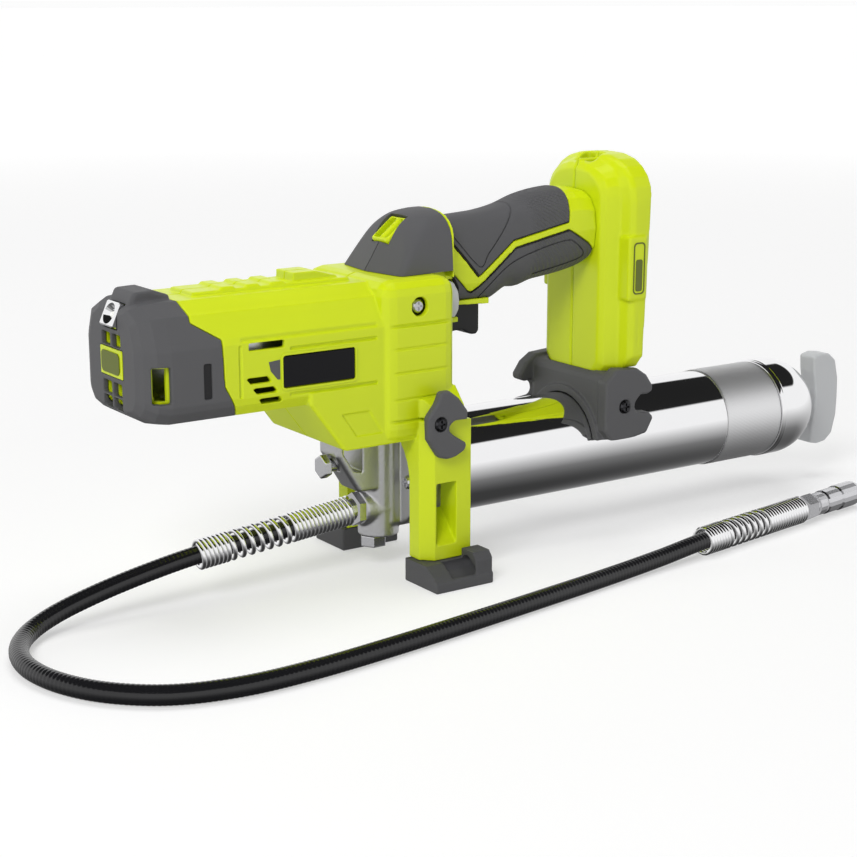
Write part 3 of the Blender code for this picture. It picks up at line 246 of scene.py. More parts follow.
def build_materials():
    """Every look by name. A grain is its noise scale and its depth in millimetres."""
    def plain(name, color, rough, metallic=0.0, tint=0.03, grain=(1800, 0.012), spread=0.03,
              specular=0.5):
        mat = new_material(name, color, rough, metallic, specular=specular)
        return grained(mat, color, tint, CLOUD_SCALE, *grain, rough, spread)

    return {
        "green": plain("lime_plastic", (0.57, 0.68, 0.006), 0.33, grain=(2200, 0.010), specular=0.45),
        "dark": plain("grey_overmould", (0.083, 0.083, 0.087), 0.58, grain=(2600, 0.03), tint=0.06),
        "grip": hatched(plain("grip_rubber", (0.078, 0.078, 0.082), 0.62, grain=(1500, 0.05), tint=0.06)),
        "black": plain("black_plastic", (0.010, 0.010, 0.011), 0.38, specular=0.35),
        "label": plain("label_gloss", (0.004, 0.004, 0.005), 0.2, specular=0.2),
        "foot": plain("foot_rubber", (0.070, 0.070, 0.074), 0.62, grain=(2000, 0.04), tint=0.08),
        "grey": plain("grey_plastic", (0.50, 0.51, 0.52), 0.4),
        "chrome": plain("chrome", (0.88, 0.88, 0.89), 0.05, 1.0, tint=0.01, grain=(60, 0.004),
                        spread=0.015),
        "satin": plain("satin_steel", (0.92, 0.92, 0.93), 0.52, 1.0, tint=0.03, grain=(1500, 0.03)),
        "steel": plain("zinc_steel", (0.66, 0.66, 0.68), 0.24, 1.0, tint=0.06, grain=(900, 0.02),
                       spread=0.06),
        "cast": plain("cast_metal", (0.62, 0.62, 0.63), 0.40, 1.0, tint=0.10, grain=(650, 0.12),
                      spread=0.08),
        "hose": plain("hose_rubber", (0.008, 0.008, 0.009), 0.16, tint=0.1, grain=(900, 0.02)),
        "lens": new_material("clear_lens", (0.95, 0.95, 0.9), 0.08, coat=0.5),
        "olive": plain("olive_print", (0.11, 0.135, 0.012), 0.5),
        "black_steel": plain("black_steel", (0.06, 0.06, 0.065), 0.35, 1.0),
        "copper": plain("copper", (0.6, 0.25, 0.12), 0.35, 1.0),
    }


NODE_LOOKS = {
    "green": ("housing_left", "housing_right", "dock_left", "dock_right", "nose_liner", "nose_badge",
              "strap_cup_front"),
    "dark": ("motor_end_cap", "top_cap", "barrel_saddle", "front_hook_left", "front_hook_right"),
    "grip": ("upper_grip", "lower_grip"),
    "black": ("trigger", "trigger_switch", "battery_terminals", "follower_piston"),
    "label": ("label_plate_left", "label_plate_right"),
    "foot": ("foot_left", "foot_right"),
    "grey": ("lock_button", "t_handle"),
    "chrome": ("barrel_tube", "end_cap", "follower_rod", "led_reflector"),
    "satin": ("knurled_collar",),
    "cast": ("pump_head", "gear_case"),
    "lens": ("led_lens",),
    "black_steel": ("front_hook_screw_left", "front_hook_screw_right", "saddle_screw_left",
                    "saddle_screw_right"),
    "copper": ("rotor",),
    "hose": ("hose",),
}


def dress_nodes(looks):
    """Give every CAD node its material; steel is what is not named above."""
    named = {node: look for look, nodes in NODE_LOOKS.items() for node in nodes}
    for name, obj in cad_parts.items():
        obj.data.materials.clear()
        obj.data.materials.append(looks[named.get(name, "steel")])


# ---------------------------------------------------------------- mesh helpers

def mesh_of(name, bm):
    """A new mesh from a bmesh, which is freed."""
    mesh = bpy.data.meshes.new(name)
    bm.to_mesh(mesh)
    bm.free()
    return mesh


def add_piece(name, mesh, look, body="frame"):
    piece = bpy.data.objects.new(name, mesh)
    bpy.context.scene.collection.objects.link(piece)
    mesh.materials.clear()
    mesh.materials.append(look)
    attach(piece, body)
    return piece


def bake(obj):
    """Turn an object's modifiers into plain mesh, keeping its material."""
    bpy.context.view_layer.update()
    graph = bpy.context.evaluated_depsgraph_get()
    material = obj.data.materials[0] if obj.data.materials else None
    mesh = bpy.data.meshes.new_from_object(obj.evaluated_get(graph))
    obj.modifiers.clear()
    obj.data = mesh
    mesh.materials.clear()
    if material:
        mesh.materials.append(material)


def weld(mesh):
    bm = bmesh.new()
    bm.from_mesh(mesh)
    bmesh.ops.remove_doubles(bm, verts=bm.verts, dist=1e-6)
    bmesh.ops.recalc_face_normals(bm, faces=bm.faces)
    bm.to_mesh(mesh)
    bm.free()


def carve(obj, mesh, operation="DIFFERENCE"):
    """Cut a mesh out of an object, or join or intersect them."""
    cutter = bpy.data.objects.new("cutter", mesh)
    bpy.context.scene.collection.objects.link(cutter)
    mod = obj.modifiers.new("carve", "BOOLEAN")
    mod.operation = operation
    mod.solver = "EXACT"
    mod.object = cutter
    bake(obj)
    bpy.data.objects.remove(cutter, do_unlink=True)


def crisp(obj):
    """Shade a carved piece smooth, with its cut edges sharp."""
    weld(obj.data)
    obj.data.shade_smooth()
    obj.data.set_sharp_from_angle(angle=math.radians(32))


def boxes(*ranges):
    """One mesh of separate boxes, each given as its x, y and z range."""
    bm = bmesh.new()
    for x, y, z in ranges:
        size = [abs(b - a) * MM for a, b in (x, y, z)]
        middle = [(a + b) / 2 * MM for a, b in (x, y, z)]
        bmesh.ops.create_cube(bm, matrix=Matrix.Translation(middle) @ Matrix.Diagonal((*size, 1)))
    return mesh_of("boxes", bm)


def slab(outline, y):
    """An (x, z) outline extruded over a range of y."""
    bm = bmesh.new()
    low = [bm.verts.new(Vector((x, y[0], z)) * MM) for x, z in outline]
    high = [bm.verts.new(Vector((x, y[1], z)) * MM) for x, z in outline]
    bm.faces.new(low)
    bm.faces.new(list(reversed(high)))
    for i in range(len(outline)):
        j = (i + 1) % len(outline)
        bm.faces.new((low[i], high[i], high[j], low[j]))
    bmesh.ops.recalc_face_normals(bm, faces=bm.faces)
    return mesh_of("slab", bm)


def moulded(node, looks, look, body="frame", voxel=0.6, rounds=4, most=60000, carves=()):
    """A finely meshed copy of a CAD piece with moulded, rounded edges. It stands for the CAD node."""
    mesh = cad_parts[node].data.copy()
    weld(mesh)
    piece = add_piece(f"{node}_skin", mesh, looks[look], body)
    for cutter in carves:
        carve(piece, cutter)
    if not piece.data.polygons:
        raise ValueError(f"{node} vanished in a Boolean")
    remesh = piece.modifiers.new("remesh", "REMESH")
    remesh.mode = "VOXEL"
    remesh.voxel_size = voxel * MM
    soften = piece.modifiers.new("soften", "SMOOTH")
    soften.factor = 0.5
    soften.iterations = rounds
    bake(piece)
    triangles = 2 * len(piece.data.polygons)
    if triangles > most:
        thin = piece.modifiers.new("thin", "DECIMATE")
        thin.ratio = most / triangles
        bake(piece)
    piece.data.shade_smooth()
    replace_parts(piece, node)
    return piece


def eased(rows, steps):
    """More rows between the given ones, along Catmull-Rom curves."""
    rows = [np.array(row, float) for row in rows]
    rows = [2 * rows[0] - rows[1]] + rows + [2 * rows[-1] - rows[-2]]
    out = []
    for a, b, c, d in zip(rows, rows[1:], rows[2:], rows[3:]):
        for t in np.linspace(0, 1, steps, endpoint=False):
            out.append(0.5 * (2 * b + (c - a) * t + (2 * a - 5 * b + 4 * c - d) * t ** 2
                              + (3 * b - a - 3 * c + d) * t ** 3))
    out.append(rows[-2])
    return out


def axis_frame(origin, direction):
    """Matrix that lays local +Z along direction and local +X as high as it can be."""
    along = Vector(direction).normalized()
    up = Vector((0, 0, 1)) if abs(along.z) < 0.9 else Vector((1, 0, 0))
    side = along.cross(up).normalized()
    high = side.cross(along).normalized()
    turn = Matrix((high, along.cross(high), along)).transposed().to_4x4()
    return Matrix.Translation(Vector(origin) * MM) @ turn


def grid_mesh(name, rings, closed_ends=False, smooth_angle=40.0):
    """Skin equal-length closed rings of points, given in millimetres."""
    bm = bmesh.new()
    rows = [[bm.verts.new(Vector(p) * MM) for p in ring] for ring in rings]
    count = len(rows[0])
    for low, high in zip(rows, rows[1:]):
        for i in range(count):
            j = (i + 1) % count
            bm.faces.new((low[i], low[j], high[j], high[i]))
    if closed_ends:
        bm.faces.new(rows[0])
        bm.faces.new(list(reversed(rows[-1])))
    bmesh.ops.recalc_face_normals(bm, faces=bm.faces)
    mesh = mesh_of(name, bm)
    mesh.shade_smooth()
    mesh.set_sharp_from_angle(angle=math.radians(smooth_angle))
    return mesh


def turned_mesh(name, profile, origin, direction, steps, ripple=None):
    """Revolve a closed profile of (along, radius) points about an axis."""
    place = axis_frame(origin, direction)
    rings = []
    for along, radius in list(profile) + [profile[0]]:
        ring = []
        for k in range(steps):
            angle = 2 * math.pi * k / steps
            r = radius + (ripple(along, angle, radius) if ripple else 0.0)
            spot = Vector((r * math.cos(angle), r * math.sin(angle), along))
            ring.append(tuple(place @ (spot * MM) / MM))
        rings.append(ring)
    mesh = grid_mesh(name, rings)
    weld(mesh)
    return mesh


def smooth_path(points, spacing):
    """Even points along a Catmull-Rom curve through the given points."""
    dense = np.array(eased(points, 40))
    run = np.concatenate([[0], np.cumsum(np.linalg.norm(np.diff(dense, axis=0), axis=1))])
    marks = np.linspace(0, run[-1], max(2, round(run[-1] / spacing) + 1))
    return np.stack([np.interp(marks, run, dense[:, k]) for k in range(3)], axis=1)


def tube_rings(points, radius_at, sides):
    """Rings about a path, carried along it without twist."""
    points = [Vector(p) for p in points]
    rings = []
    high = Vector((0, 0, 1))
    for k, here in enumerate(points):
        ahead = points[min(k + 1, len(points) - 1)] - points[max(k - 1, 0)]
        ahead.normalize()
        high = (high - ahead * high.dot(ahead)).normalized()
        side = ahead.cross(high)
        r = radius_at(k)
        rings.append([tuple(here + (high * math.cos(a) + side * math.sin(a)) * r)
                      for a in (2 * math.pi * i / sides for i in range(sides))])
    return rings


# ---------------------------------------------------------------- hose

HOSE_R = 4.8
HOSE_START = 1.5                    # from the nut to the hose's end
RIB_DEPTH, RIB_STEP = 0.16, 4       # a fine rib at every fourth point of the path
PATH_STEP = 0.6
GUARD_LENGTH = 95.0
GUARD_WIRE, GUARD_COIL_R = 1.2, 7.0
# Turns of a guard from its fixed end: how many, and their pitch before it is scaled to fit
GUARD_TURNS = ((15, 2.48), (7, 5.5), (7, 2.48))
GUARD_GAP, GUARD_TIP_GAP = 1.2, 0.4 # from a guard to the nut at the pump, and to the far fitting
DROOP = math.radians(5.5)
NEAR_END = (-114.3, 0.0, 33.9)
FAR_END = (150.0, -73.9, 8.4)
FAR_ANGLE = math.radians(9.3)
NEAR_DIRECTION = (-math.cos(DROOP), 0.0, -math.sin(DROOP))
FAR_DIRECTION = (math.cos(FAR_ANGLE), math.sin(FAR_ANGLE), 0.0)


def near_point(distance):
    """A point on the line that the hose leaves the pump's nut along."""
    return tuple(c + distance * d for c, d in zip(NEAR_END, NEAR_DIRECTION))


def far_point(distance):
    """A point on the line that the hose reaches the far fitting along."""
    return tuple(c + distance * d for c, d in zip(FAR_END, FAR_DIRECTION))


def hose_route():
    """The route of the CAD hose."""
    return [near_point(HOSE_START), near_point(30), near_point(62), near_point(GUARD_LENGTH),
            (-237, 0, 20.4), (-263, -0.5, 15.2), (-286, -2.5, 9.6), (-304, -11, 5.6), (-316, -29, 4.9),
            (-320.5, -52, 4.9), (-316, -77, 4.9), (-303, -100, 4.9), (-281, -118, 4.9),
            (-251, -126.5, 4.9), (-215, -127, 4.9), (-170, -122.5, 4.9), (-120, -115.5, 4.9),
            (-66, -107, 4.9), (-20, -99.5, 5.0), (22, -93.5, 6.2), far_point(-GUARD_LENGTH),
            far_point(-62), far_point(-30), far_point(-HOSE_START)]


def coil_points(start, direction, radius, pitches, per_turn=20):
    """A coil along direction whose turns have the given pitches."""
    place = axis_frame((0, 0, 0), direction)
    start = Vector(start)
    points, run, angle = [], 0.0, 0.0
    for pitch in pitches:
        for _ in range(per_turn):
            spot = Vector((radius * math.cos(angle), radius * math.sin(angle), run))
            points.append(start + place @ spot)
            run += pitch / per_turn
            angle += 2 * math.pi / per_turn
    return points


def coil_mesh(name, points, wire):
    return grid_mesh(name, tube_rings(points, lambda k: wire, 8), True, 60)


def build_guards(looks):
    """The two spring guards, close wound at both ends and open in between."""
    pitches = [pitch for turns, pitch in GUARD_TURNS for _ in range(turns)]
    scale = (GUARD_LENGTH - GUARD_GAP - 2 * GUARD_WIRE) / sum(pitches)
    pitches = [pitch * scale for pitch in pitches]
    guards = []
    for word, start, direction in (
            ("near", near_point(GUARD_GAP + GUARD_WIRE), NEAR_DIRECTION),
            ("far", far_point(-GUARD_TIP_GAP - GUARD_WIRE), [-c for c in FAR_DIRECTION])):
        name = f"guard_coil_{word}"
        points = coil_points(start, direction, GUARD_COIL_R, pitches)
        guard = add_piece(name, coil_mesh(name, points, GUARD_WIRE), looks["chrome"])
        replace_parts(guard, f"guard_spring_{word}")
        guards.append(guard)
    return guards


def build_hose(looks):
    path = smooth_path(hose_route(), PATH_STEP)
    rings = tube_rings(path, lambda k: HOSE_R - (RIB_DEPTH if k % RIB_STEP == 0 else 0.0), 20)
    hose = add_piece("hose_skin", grid_mesh("hose_skin", rings, True, 80), looks["hose"])
    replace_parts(hose, "hose")
    fittings = ("hose_fitting", "hose_end_fitting", "coupler_adapter", "coupler")
    on_hose = build_guards(looks) + [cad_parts[node] for node in fittings]
    for piece in (hose, *on_hose):
        piece.visible_glossy = False       # keeps its mirror image off the polished barrel


# ---------------------------------------------------------------- barrel

TUBE_R = 28.5
TUBE_X = (-82.0, 176.7)
KNURL_X = (133.0, 176.7)
CAP_X = (177.1, 219.6)
BAND_THICK = 0.66
KNURL_LINES, KNURL_PITCH, KNURL_DEPTH, KNURL_MARGIN = 90, 3.6, 0.045, 1.0


def knurl(along, angle, radius):
    """Crossed rolled lines on the outside of the band."""
    length = KNURL_X[1] - KNURL_X[0]
    if radius < TUBE_R + 0.6 or not KNURL_MARGIN <= along <= length - KNURL_MARGIN:
        return 0.0
    slant = along * 2 * math.pi / KNURL_PITCH
    turn = KNURL_LINES * angle
    return KNURL_DEPTH * (math.cos(turn + slant) + math.cos(turn - slant)) / 2


def build_barrel(looks):
    length = TUBE_X[1] - TUBE_X[0]
    profile = [(0, 27.6), (0, 28.2), (0.3, TUBE_R), (length - 0.3, TUBE_R), (length, 28.2), (length, 27.6)]
    tube = turned_mesh("barrel_skin", profile, (TUBE_X[0], 0, BARREL_Z), (1, 0, 0), 144)
    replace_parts(add_piece("barrel_skin", tube, looks["chrome"], "barrel"), "barrel_tube")

    length = KNURL_X[1] - KNURL_X[0]
    top = TUBE_R + BAND_THICK
    band = [(0.0, TUBE_R + 0.12), (0.0, top - 0.25), (0.5, top)]
    band += [(x, top) for x in np.linspace(0.9, length - 0.9, 72)]
    band += [(length - 0.5, top), (length, top - 0.25), (length, TUBE_R + 0.12)]
    mesh = turned_mesh("knurled_band", band, (KNURL_X[0], 0, BARREL_Z), (1, 0, 0), 360, knurl)
    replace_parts(add_piece("knurled_band", mesh, looks["satin"], "barrel"), "knurled_collar")
    build_end_cap(looks)


def build_end_cap(looks):
    """Chrome dome with a rolled rim and a groove behind it."""
    wall, knee, rim = 1.4, 12.9, TUBE_R + 1.5
    dome, steps = math.radians(81.4), 40
    outer = [(0, 27.2), (0, rim - 0.7), (0.2, rim - 0.2), (0.7, rim), (2.6, rim), (2.9, rim - 0.5),
             (3.3, rim - 0.7), (3.7, rim - 0.5), (4.0, rim)]
    outer += [(x, rim) for x in (6, 9, 12)]
    inner = [(3.0, 27.2)]
    for k in range(steps + 1):
        angle = dome * k / steps
        for line, radius in ((outer, rim), (inner, rim - wall)):
            line.append((knee + radius * math.sin(angle), radius * math.cos(angle)))
    length = CAP_X[1] - CAP_X[0]
    outer += [(length - 0.2, 4.9), (length, 4.6)]
    profile = outer + [(length - wall, 4.6)] + inner[::-1]
    mesh = turned_mesh("end_cap_skin", profile, (CAP_X[0], 0, BARREL_Z), (1, 0, 0), 144)
    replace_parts(add_piece("end_cap_skin", mesh, looks["chrome"], "barrel"), "end_cap")


# ---------------------------------------------------------------- green casing

MOTOR_SIDE_Y = 37.0
BLOCK_LINE_Y, DOCK_LINE_Y = 38.8, 36.4      # bottoms of the lines on the gear block and the dock


def casing_lines(side):
    """Shallow styling lines on one side of the motor body and gear block."""
    def face(depth):
        return tuple(sorted((side * (MOTOR_SIDE_Y - depth), side * 60)))
    lines = [((-199, -121), face(1.3), (140.0, 141.8)),
             ((-172, -121), face(1.1), (133.4, 135.0)),
             ((-172, -121), face(1.4), (110.2, 112.0)),
             ((-200.4, -198.8), face(1.1), (112.3, 138.2))]
    block = tuple(sorted((side * BLOCK_LINE_Y, side * 60)))
    return lines + [((-116, -76), block, (z, z + 1.6)) for z in (138.0, 88.4)]


def dock_lines(side):
    """Three short upright grooves under the badge boss."""
    face = tuple(sorted((side * DOCK_LINE_Y, side * 60)))
    return [((x - 0.5, x + 0.5), face, (110, 131)) for x in (48.5, 52.5, 56.0)]


# Space cut away under the trigger's guard strip
TRIGGER_GAP = [(-57.7, 128), (-30, 128), (-30, 140.0), (-57.7, 141.4)]


def build_casing(looks):
    for side, word in ((-1, "left"), (1, "right")):
        lines = [boxes(line) for line in casing_lines(side)]
        lines.append(slab(TRIGGER_GAP, (-20, 20)))
        moulded(f"housing_{word}", looks, "green", voxel=0.5, rounds=3, most=130000,
                carves=lines)
        moulded(f"dock_{word}", looks, "green", voxel=0.7, rounds=6, most=50000,
                carves=(boxes(*dock_lines(side)),))


# ---------------------------------------------------------------- dark covers

CAP_REAR_X = -66.8
# Slices of the top cap: height, x of the seam, x of the front corners, half width in front and at the
# rear, corner radius
TOP_CAP = (
    (162.3, -105.3, -101.0, 28.5, 25.4, 3.5),
    (173, -98.4, -94.6, 26.4, 24.9, 6),
    (181, -93.7, -90.2, 24, 24.2, 9),
    (186, -90.0, -86.5, 20.8, 21.8, 10),
    (190, -84.6, -81.5, 16.2, 17.2, 9),
    (192.2, -77.5, -75.5, 10, 11, 6),
    (193.0, -72.0, -71, 5, 6, 3),
)
STRAP_SPOT = (-88.4, 0, 182.0)
STRAP_TILT = math.radians(-39)


def arc_between(before, corner, after, steps=10):
    """A quadratic round of a corner, from one tangent point to the other."""
    points = []
    for k in range(steps + 1):
        t = k / steps
        points.append(tuple((1 - t) ** 2 * a + 2 * t * (1 - t) * c + t * t * b
                            for a, c, b in zip(before, corner, after)))
    return points


def cap_ring(z, seam, corner, front_w, rear_w, radius, inset=0.0):
    """A level slice of the top cap."""
    seam, corner, front_w, rear_w = seam + inset, corner + inset, front_w - inset, rear_w - inset
    rear_x = CAP_REAR_X + 12           # past the place where the cap is cut off
    towards_seam = (corner + (seam - corner) * radius / front_w, front_w - radius)
    towards_rear = (corner + radius, front_w + (rear_w - front_w) * radius / (rear_x - corner))
    half = arc_between(towards_seam, (corner, front_w), towards_rear) + [(rear_x, rear_w)]
    outline = [(seam, 0.0)] + half + [(x, -y) for x, y in reversed(half)]
    return [(x, y, z) for x, y in outline]


def build_top_cap(looks):
    mesh = grid_mesh("top_cap_skin", [cap_ring(*row) for row in eased(TOP_CAP, 7)], True)
    cap = add_piece("top_cap_skin", mesh, looks["dark"])
    room = [cap_ring(row[0] - 2.4, *row[1:], inset=2.5) for row in TOP_CAP[:5]]
    carve(cap, boxes(((CAP_REAR_X, -30), (-60, 60), (100, 260))))
    carve(cap, grid_mesh("cap_room", room, True))
    seat = boxes(((-9.1, 9.1), (-8.2, 8.2), (-6, 12)))
    seat.transform(Matrix.Translation(Vector(STRAP_SPOT) * MM) @ Matrix.Rotation(STRAP_TILT, 4, "Y"))
    carve(cap, seat)
    front = [(row[1] + 1.0, row[0]) for row in eased(TOP_CAP[:3], 4)]
    carve(cap, slab([(-125, 160)] + front + [(-125, front[-1][1])], (-0.35, 0.35)))
    crisp(cap)
    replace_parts(cap, "top_cap")


# Handle: station x, top z, bottom z, half width
GRIP = (
    (-77, 187, 143, 17.5),
    (-64, 187.5, 140.5, 17.5),
    (-46, 188.5, 139.5, 18),
    (-32, 189.5, 140.5, 18.5),
    (-18, 192, 148, 19),
    (-4, 196.5, 149, 19.5),
    (10, 199, 150.5, 20),
    (24, 199.5, 153, 21),
    (38, 197, 157, 21),
)
FINGER_BUMP = (-13.0, 6.5, 2.6)     # middle, reach and depth of the swelling under the pad
PAD = 2.6
CORE_GAP = 0.35                     # left free between a pad and the core under it
# The dark line round a pad is a real groove whose black colour is painted shade.
SHADE_LINE_WIDTH, RIM_INSET = 0.75, 0.75  # dark line left round a pad, and how far it lies below the pad
UPPER_PAD = [(-64.4, 206), (-64.4, 178.7), (-59.2, 173.3), (-43.6, 155.8), (-21.2, 173.8), (15.6, 181.3),
             (19.6, 206)]
LOWER_PAD = [(-64.4, 160.4), (-62.8, 161.3), (-49.4, 148.5), (-46.9, 147.5), (-43.4, 149.8), (-20.2, 169.6),
             (16, 177.0), (29.6, 168.7), (33.6, 165), (32.6, 160.2), (26.6, 154.4), (19.6, 130.5),
             (-54.6, 130.5), (-55.2, 142.4), (-56.7, 150.8), (-60.6, 157.0)]
# The groove drawn on each pad, as a run of (x, z) points
UPPER_GROOVE = [(-61.5, 190), (-61.5, 181.5), (-44.0, 161.5), (-37.5, 168.5), (-26, 181), (-15.5, 193),
                (-13.5, 199)]
LOWER_GROOVE = [(-44, 130), (-41.5, 143), (-34, 153), (-22, 162), (-4, 168), (14, 171.5), (20, 169.5),
                (26.5, 163.5), (24, 160.5), (10, 157.0), (-6, 154)]
GROOVE_WIDTH, GROOVE_DEPTH = 0.8, 0.7


def oval(x, z_mid, half_w, half_h, power=2.6, count=72):
    """A rounded rectangle in the plane X = x."""
    ring = []
    for k in range(count):
        angle = 2 * math.pi * k / count
        c, s = math.cos(angle), math.sin(angle)
        ring.append((x, half_w * math.copysign(abs(c) ** (2 / power), c),
                     z_mid + half_h * math.copysign(abs(s) ** (2 / power), s)))
    return ring


def grip_form(inset, steps=1, count=16):
    """The handle's form; with steps and count at 1 and 16 it has the CAD core's own facets."""
    rings = []
    for x, top, bottom, half_w in eased(GRIP, steps):
        if steps > 1:
            middle, reach, depth = FINGER_BUMP
            bottom -= depth * math.exp(-((x - middle) / reach) ** 2)
        rings.append(oval(x, (top + bottom) / 2, half_w - inset, (top - bottom) / 2 - inset, count=count))
    return grid_mesh("grip_form", rings, True)


def shrunk(outline, distance):
    """A closed outline moved inwards by a distance, with its corners kept."""
    area = sum(a[0] * b[1] - b[0] * a[1] for a, b in zip(outline, outline[1:] + outline[:1]))
    turn = 1 if area > 0 else -1
    moved = []
    for before, here, after in zip(outline[-1:] + outline[:-1], outline, outline[1:] + outline[:1]):
        first = Vector((here[0] - before[0], here[1] - before[1])).normalized()
        second = Vector((after[0] - here[0], after[1] - here[1])).normalized()
        normals = [Vector((-d.y, d.x)) * turn for d in (first, second)]
        middle = (normals[0] + normals[1]).normalized()
        moved.append(tuple(Vector(here) + middle * distance / max(0.35, middle.dot(normals[0]))))
    return moved


def groove(points, width):
    """A thin upright slab that follows a line on the side of the handle."""
    smooth = smooth_path([(x, 0, z) for x, z in points], 2.0)
    left, right = [], []
    for k, here in enumerate(smooth):
        ahead = smooth[min(k + 1, len(smooth) - 1)] - smooth[max(k - 1, 0)]
        across = np.array((-ahead[2], 0, ahead[0])) / np.hypot(ahead[0], ahead[2]) * width / 2
        left.append(tuple((here + across)[[0, 2]]))
        right.append(tuple((here - across)[[0, 2]]))
    return slab(left + right[::-1], (-60, 60))


def build_grips(looks):
    """Each grip is a black rim and a pad set just inside it, wrapped round the handle's core. The rim lies
    below the pad as a real groove, and its black colour is painted shade for that groove.
    """
    dock_room = ((33.5, 90), (-60, 60), (80, 230))
    trigger_room = ((-60, -34.2), (-15, 15), (130, 143.9))
    for name, zone, run in (("upper_grip", UPPER_PAD, UPPER_GROOVE),
                            ("lower_grip", LOWER_PAD, LOWER_GROOVE)):
        # The rim's black colour is painted shade for the groove round the pad.
        edge = add_piece(f"{name}_edge", grip_form(RIM_INSET, 6, 72), looks["black"])
        pad = add_piece(f"{name}_skin", grip_form(0, 6, 72), looks["grip"])
        for piece, outline in ((edge, zone), (pad, shrunk(zone, SHADE_LINE_WIDTH))):
            carve(piece, grip_form(PAD - CORE_GAP))
            carve(piece, slab(outline, (-60, 60)), "INTERSECT")
            carve(piece, boxes(dock_room, trigger_room))
        line = bpy.data.objects.new("line", groove(run, GROOVE_WIDTH))
        bpy.context.scene.collection.objects.link(line)
        carve(line, grip_form(GROOVE_DEPTH, 6, 72))
        carve(pad, line.data.copy())
        bpy.data.objects.remove(line, do_unlink=True)
        for piece in (edge, pad):
            crisp(piece)
        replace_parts(pad, name)


# ---------------------------------------------------------------- badges and dark parts

def rounded_bar(x, z, radius, steps=8):
    """Outline of a rounded rectangle in the XZ plane."""
    points = []
    for cx, cz, start in ((x[1] - radius, z[1] - radius, 0), (x[0] + radius, z[1] - radius, 90),
                          (x[0] + radius, z[0] + radius, 180), (x[1] - radius, z[0] + radius, 270)):
        for k in range(steps + 1):
            angle = math.radians(start + 90 * k / steps)
            points.append((cx + radius * math.cos(angle), cz + radius * math.sin(angle)))
    return points


def frame_of(name, x, z, radius, width, y, look):
    """A raised rounded frame."""
    piece = add_piece(name, slab(rounded_bar(x, z, radius), y), look)
    inner = rounded_bar((x[0] + width, x[1] - width), (z[0] + width, z[1] - width), radius - width * 0.6)
    carve(piece, slab(inner, (y[0] - 5, y[1] + 5)))
    return piece


SHIELD = [(-184.2, 128.6), (-177.9, 129.2), (-177.9, 119.4), (-179.4, 119.4), (-183.2, 124.0)]
NOSE_BADGE_X = -250.85


def build_trim(looks):
    """Blank badges, the grey shield beside the label, and black sheets set in the recesses of the nose as
    painted shade for the dark inside them.
    """
    for side, word in ((-1, "left"), (1, "right")):
        def face(low, high, side=side):
            return tuple(sorted((side * low, side * high)))
        bar = slab(rounded_bar((48.3, 53.1), (142.2, 160.0), 1.4), face(38.2, 38.6))
        shade_sheet = slab(rounded_bar((-219.3, -215.2), (114.2, 131.3), 0.5), face(35.5, 36.2))
        frame_of(f"dock_badge_rim_{word}", (46.6, 54.8), (140.5, 169.5), 2.4, 0.8, face(38.2, 38.65),
                 looks["olive"])
        add_piece(f"dock_badge_field_{word}", bar, looks["olive"])
        frame_of(f"label_rim_{word}", (-177.4, -133.6), (113.4, 132.0), 2.2, 1.0, face(36.7, 37.55),
                 looks["green"])
        add_piece(f"shield_{word}", slab(SHIELD, face(36.6, 37.15)), looks["dark"])
        # A black sheet just under the face in each nose recess: painted shade for the dark inside the
        # recess.
        add_piece(f"nose_pocket_{word}", shade_sheet, looks["black"])
    plate = slab(rounded_bar((-10.0, 10.0), (124.7, 135.3), 2.6), (0, 0.35))
    field = add_piece("nose_badge_field", plate, looks["olive"])
    field.data.transform(Matrix.Translation(Vector((NOSE_BADGE_X, 0, 0)) * MM)
                         @ Matrix.Rotation(math.radians(90), 4, "Z")
                         @ Matrix.Translation(Vector((0, -0.2, 0)) * MM))


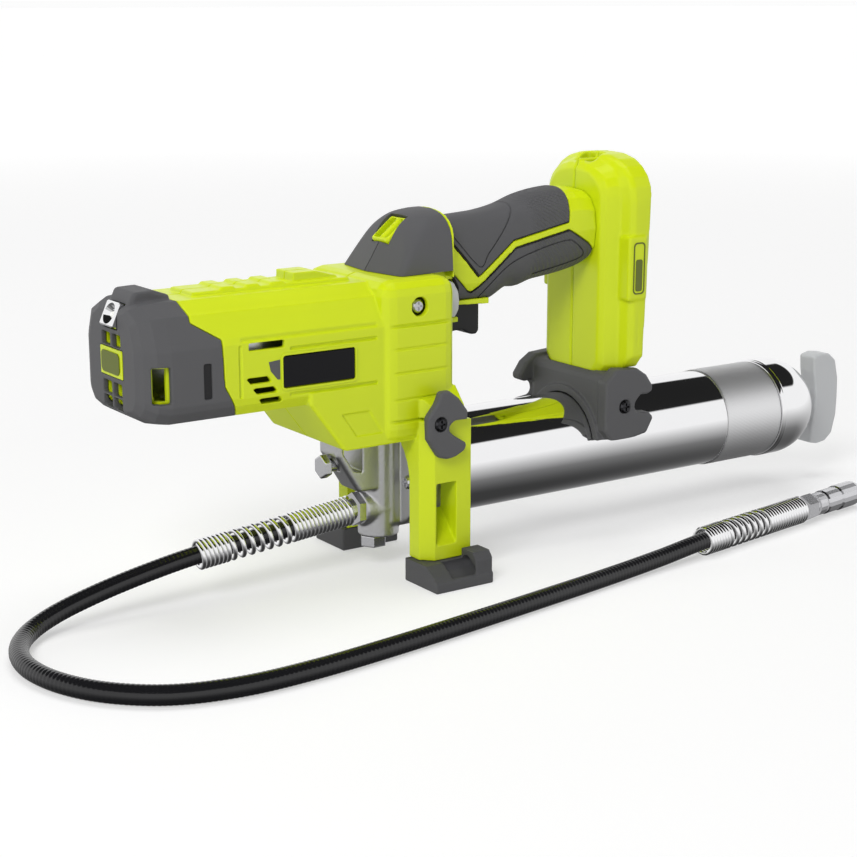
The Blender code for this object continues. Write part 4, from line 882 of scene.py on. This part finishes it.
def build_dark_parts(looks):
    moulded("motor_end_cap", looks, "dark", voxel=0.5, rounds=5, most=70000)
    moulded("barrel_saddle", looks, "dark", voxel=0.5, rounds=5, most=40000)
    for word in ("left", "right"):
        moulded(f"front_hook_{word}", looks, "dark", voxel=0.4, rounds=5, most=16000)
        moulded(f"foot_{word}", looks, "foot", voxel=0.5, rounds=4, most=20000)


# ---------------------------------------------------------------- metal and controls

def build_metal(looks):
    moulded("pump_head", looks, "cast", voxel=0.55, rounds=4, most=60000)
    for node, body in (("relief_plug", "frame"), ("bleeder_valve", "bleeder")):
        moulded(node, looks, "steel", body, voxel=0.3, rounds=2, most=12000)


# The springs inside: joint, body, axis, a point on the centre line, coil and wire radius, turns
SPRINGS = {
    "follower": ("follower_pull", "barrel", (1, 0, 0), (0, 0, BARREL_Z), 21.0, 1.1, 8),
    "trigger": ("trigger_pull", "frame", (0, 0, 1), (-53.8, 0, 0), 1.9, 0.4, 3),
}


def build_springs(looks):
    """Round-wire coils in place of the CAD springs, each carried by its body."""
    for name, (joint, body, axis, centre, coil_r, wire, turns) in SPRINGS.items():
        axis, centre = Vector(axis), Vector(centre)
        low, high = (Vector(corner).dot(axis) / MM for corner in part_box(f"{name}_spring"))
        pitch = (high - low - 2 * wire) / turns
        points = coil_points(centre + axis * (low + wire), axis, coil_r, [pitch] * turns, 32)
        mesh = coil_mesh(f"{name}_coil", points, wire)
        coil = add_piece(f"{name}_coil", mesh, looks["steel"], body)
        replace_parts(coil, f"{name}_spring")
        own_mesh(coil)


def build_controls(looks):
    moulded("trigger", looks, "black", "trigger", voxel=0.4, rounds=8, most=14000)
    moulded("lock_button", looks, "grey", "lock_button", voxel=0.4, rounds=4, most=14000)
    moulded("t_handle", looks, "grey", "handle_rod", voxel=0.5, rounds=14, most=20000)
    moulded("strap_cup_front", looks, "green", voxel=0.35, rounds=4, most=16000)


# ---------------------------------------------------------------- make everything

scene = bpy.context.scene
scene.view_settings.view_transform = "Standard"
place_camera()
looks = build_materials()
dress_nodes(looks)
build_hose(looks)
build_barrel(looks)
build_casing(looks)
build_top_cap(looks)
build_grips(looks)
build_trim(looks)
build_dark_parts(looks)
build_metal(looks)
build_springs(looks)
build_controls(looks)
lay_floor()
light_studio()
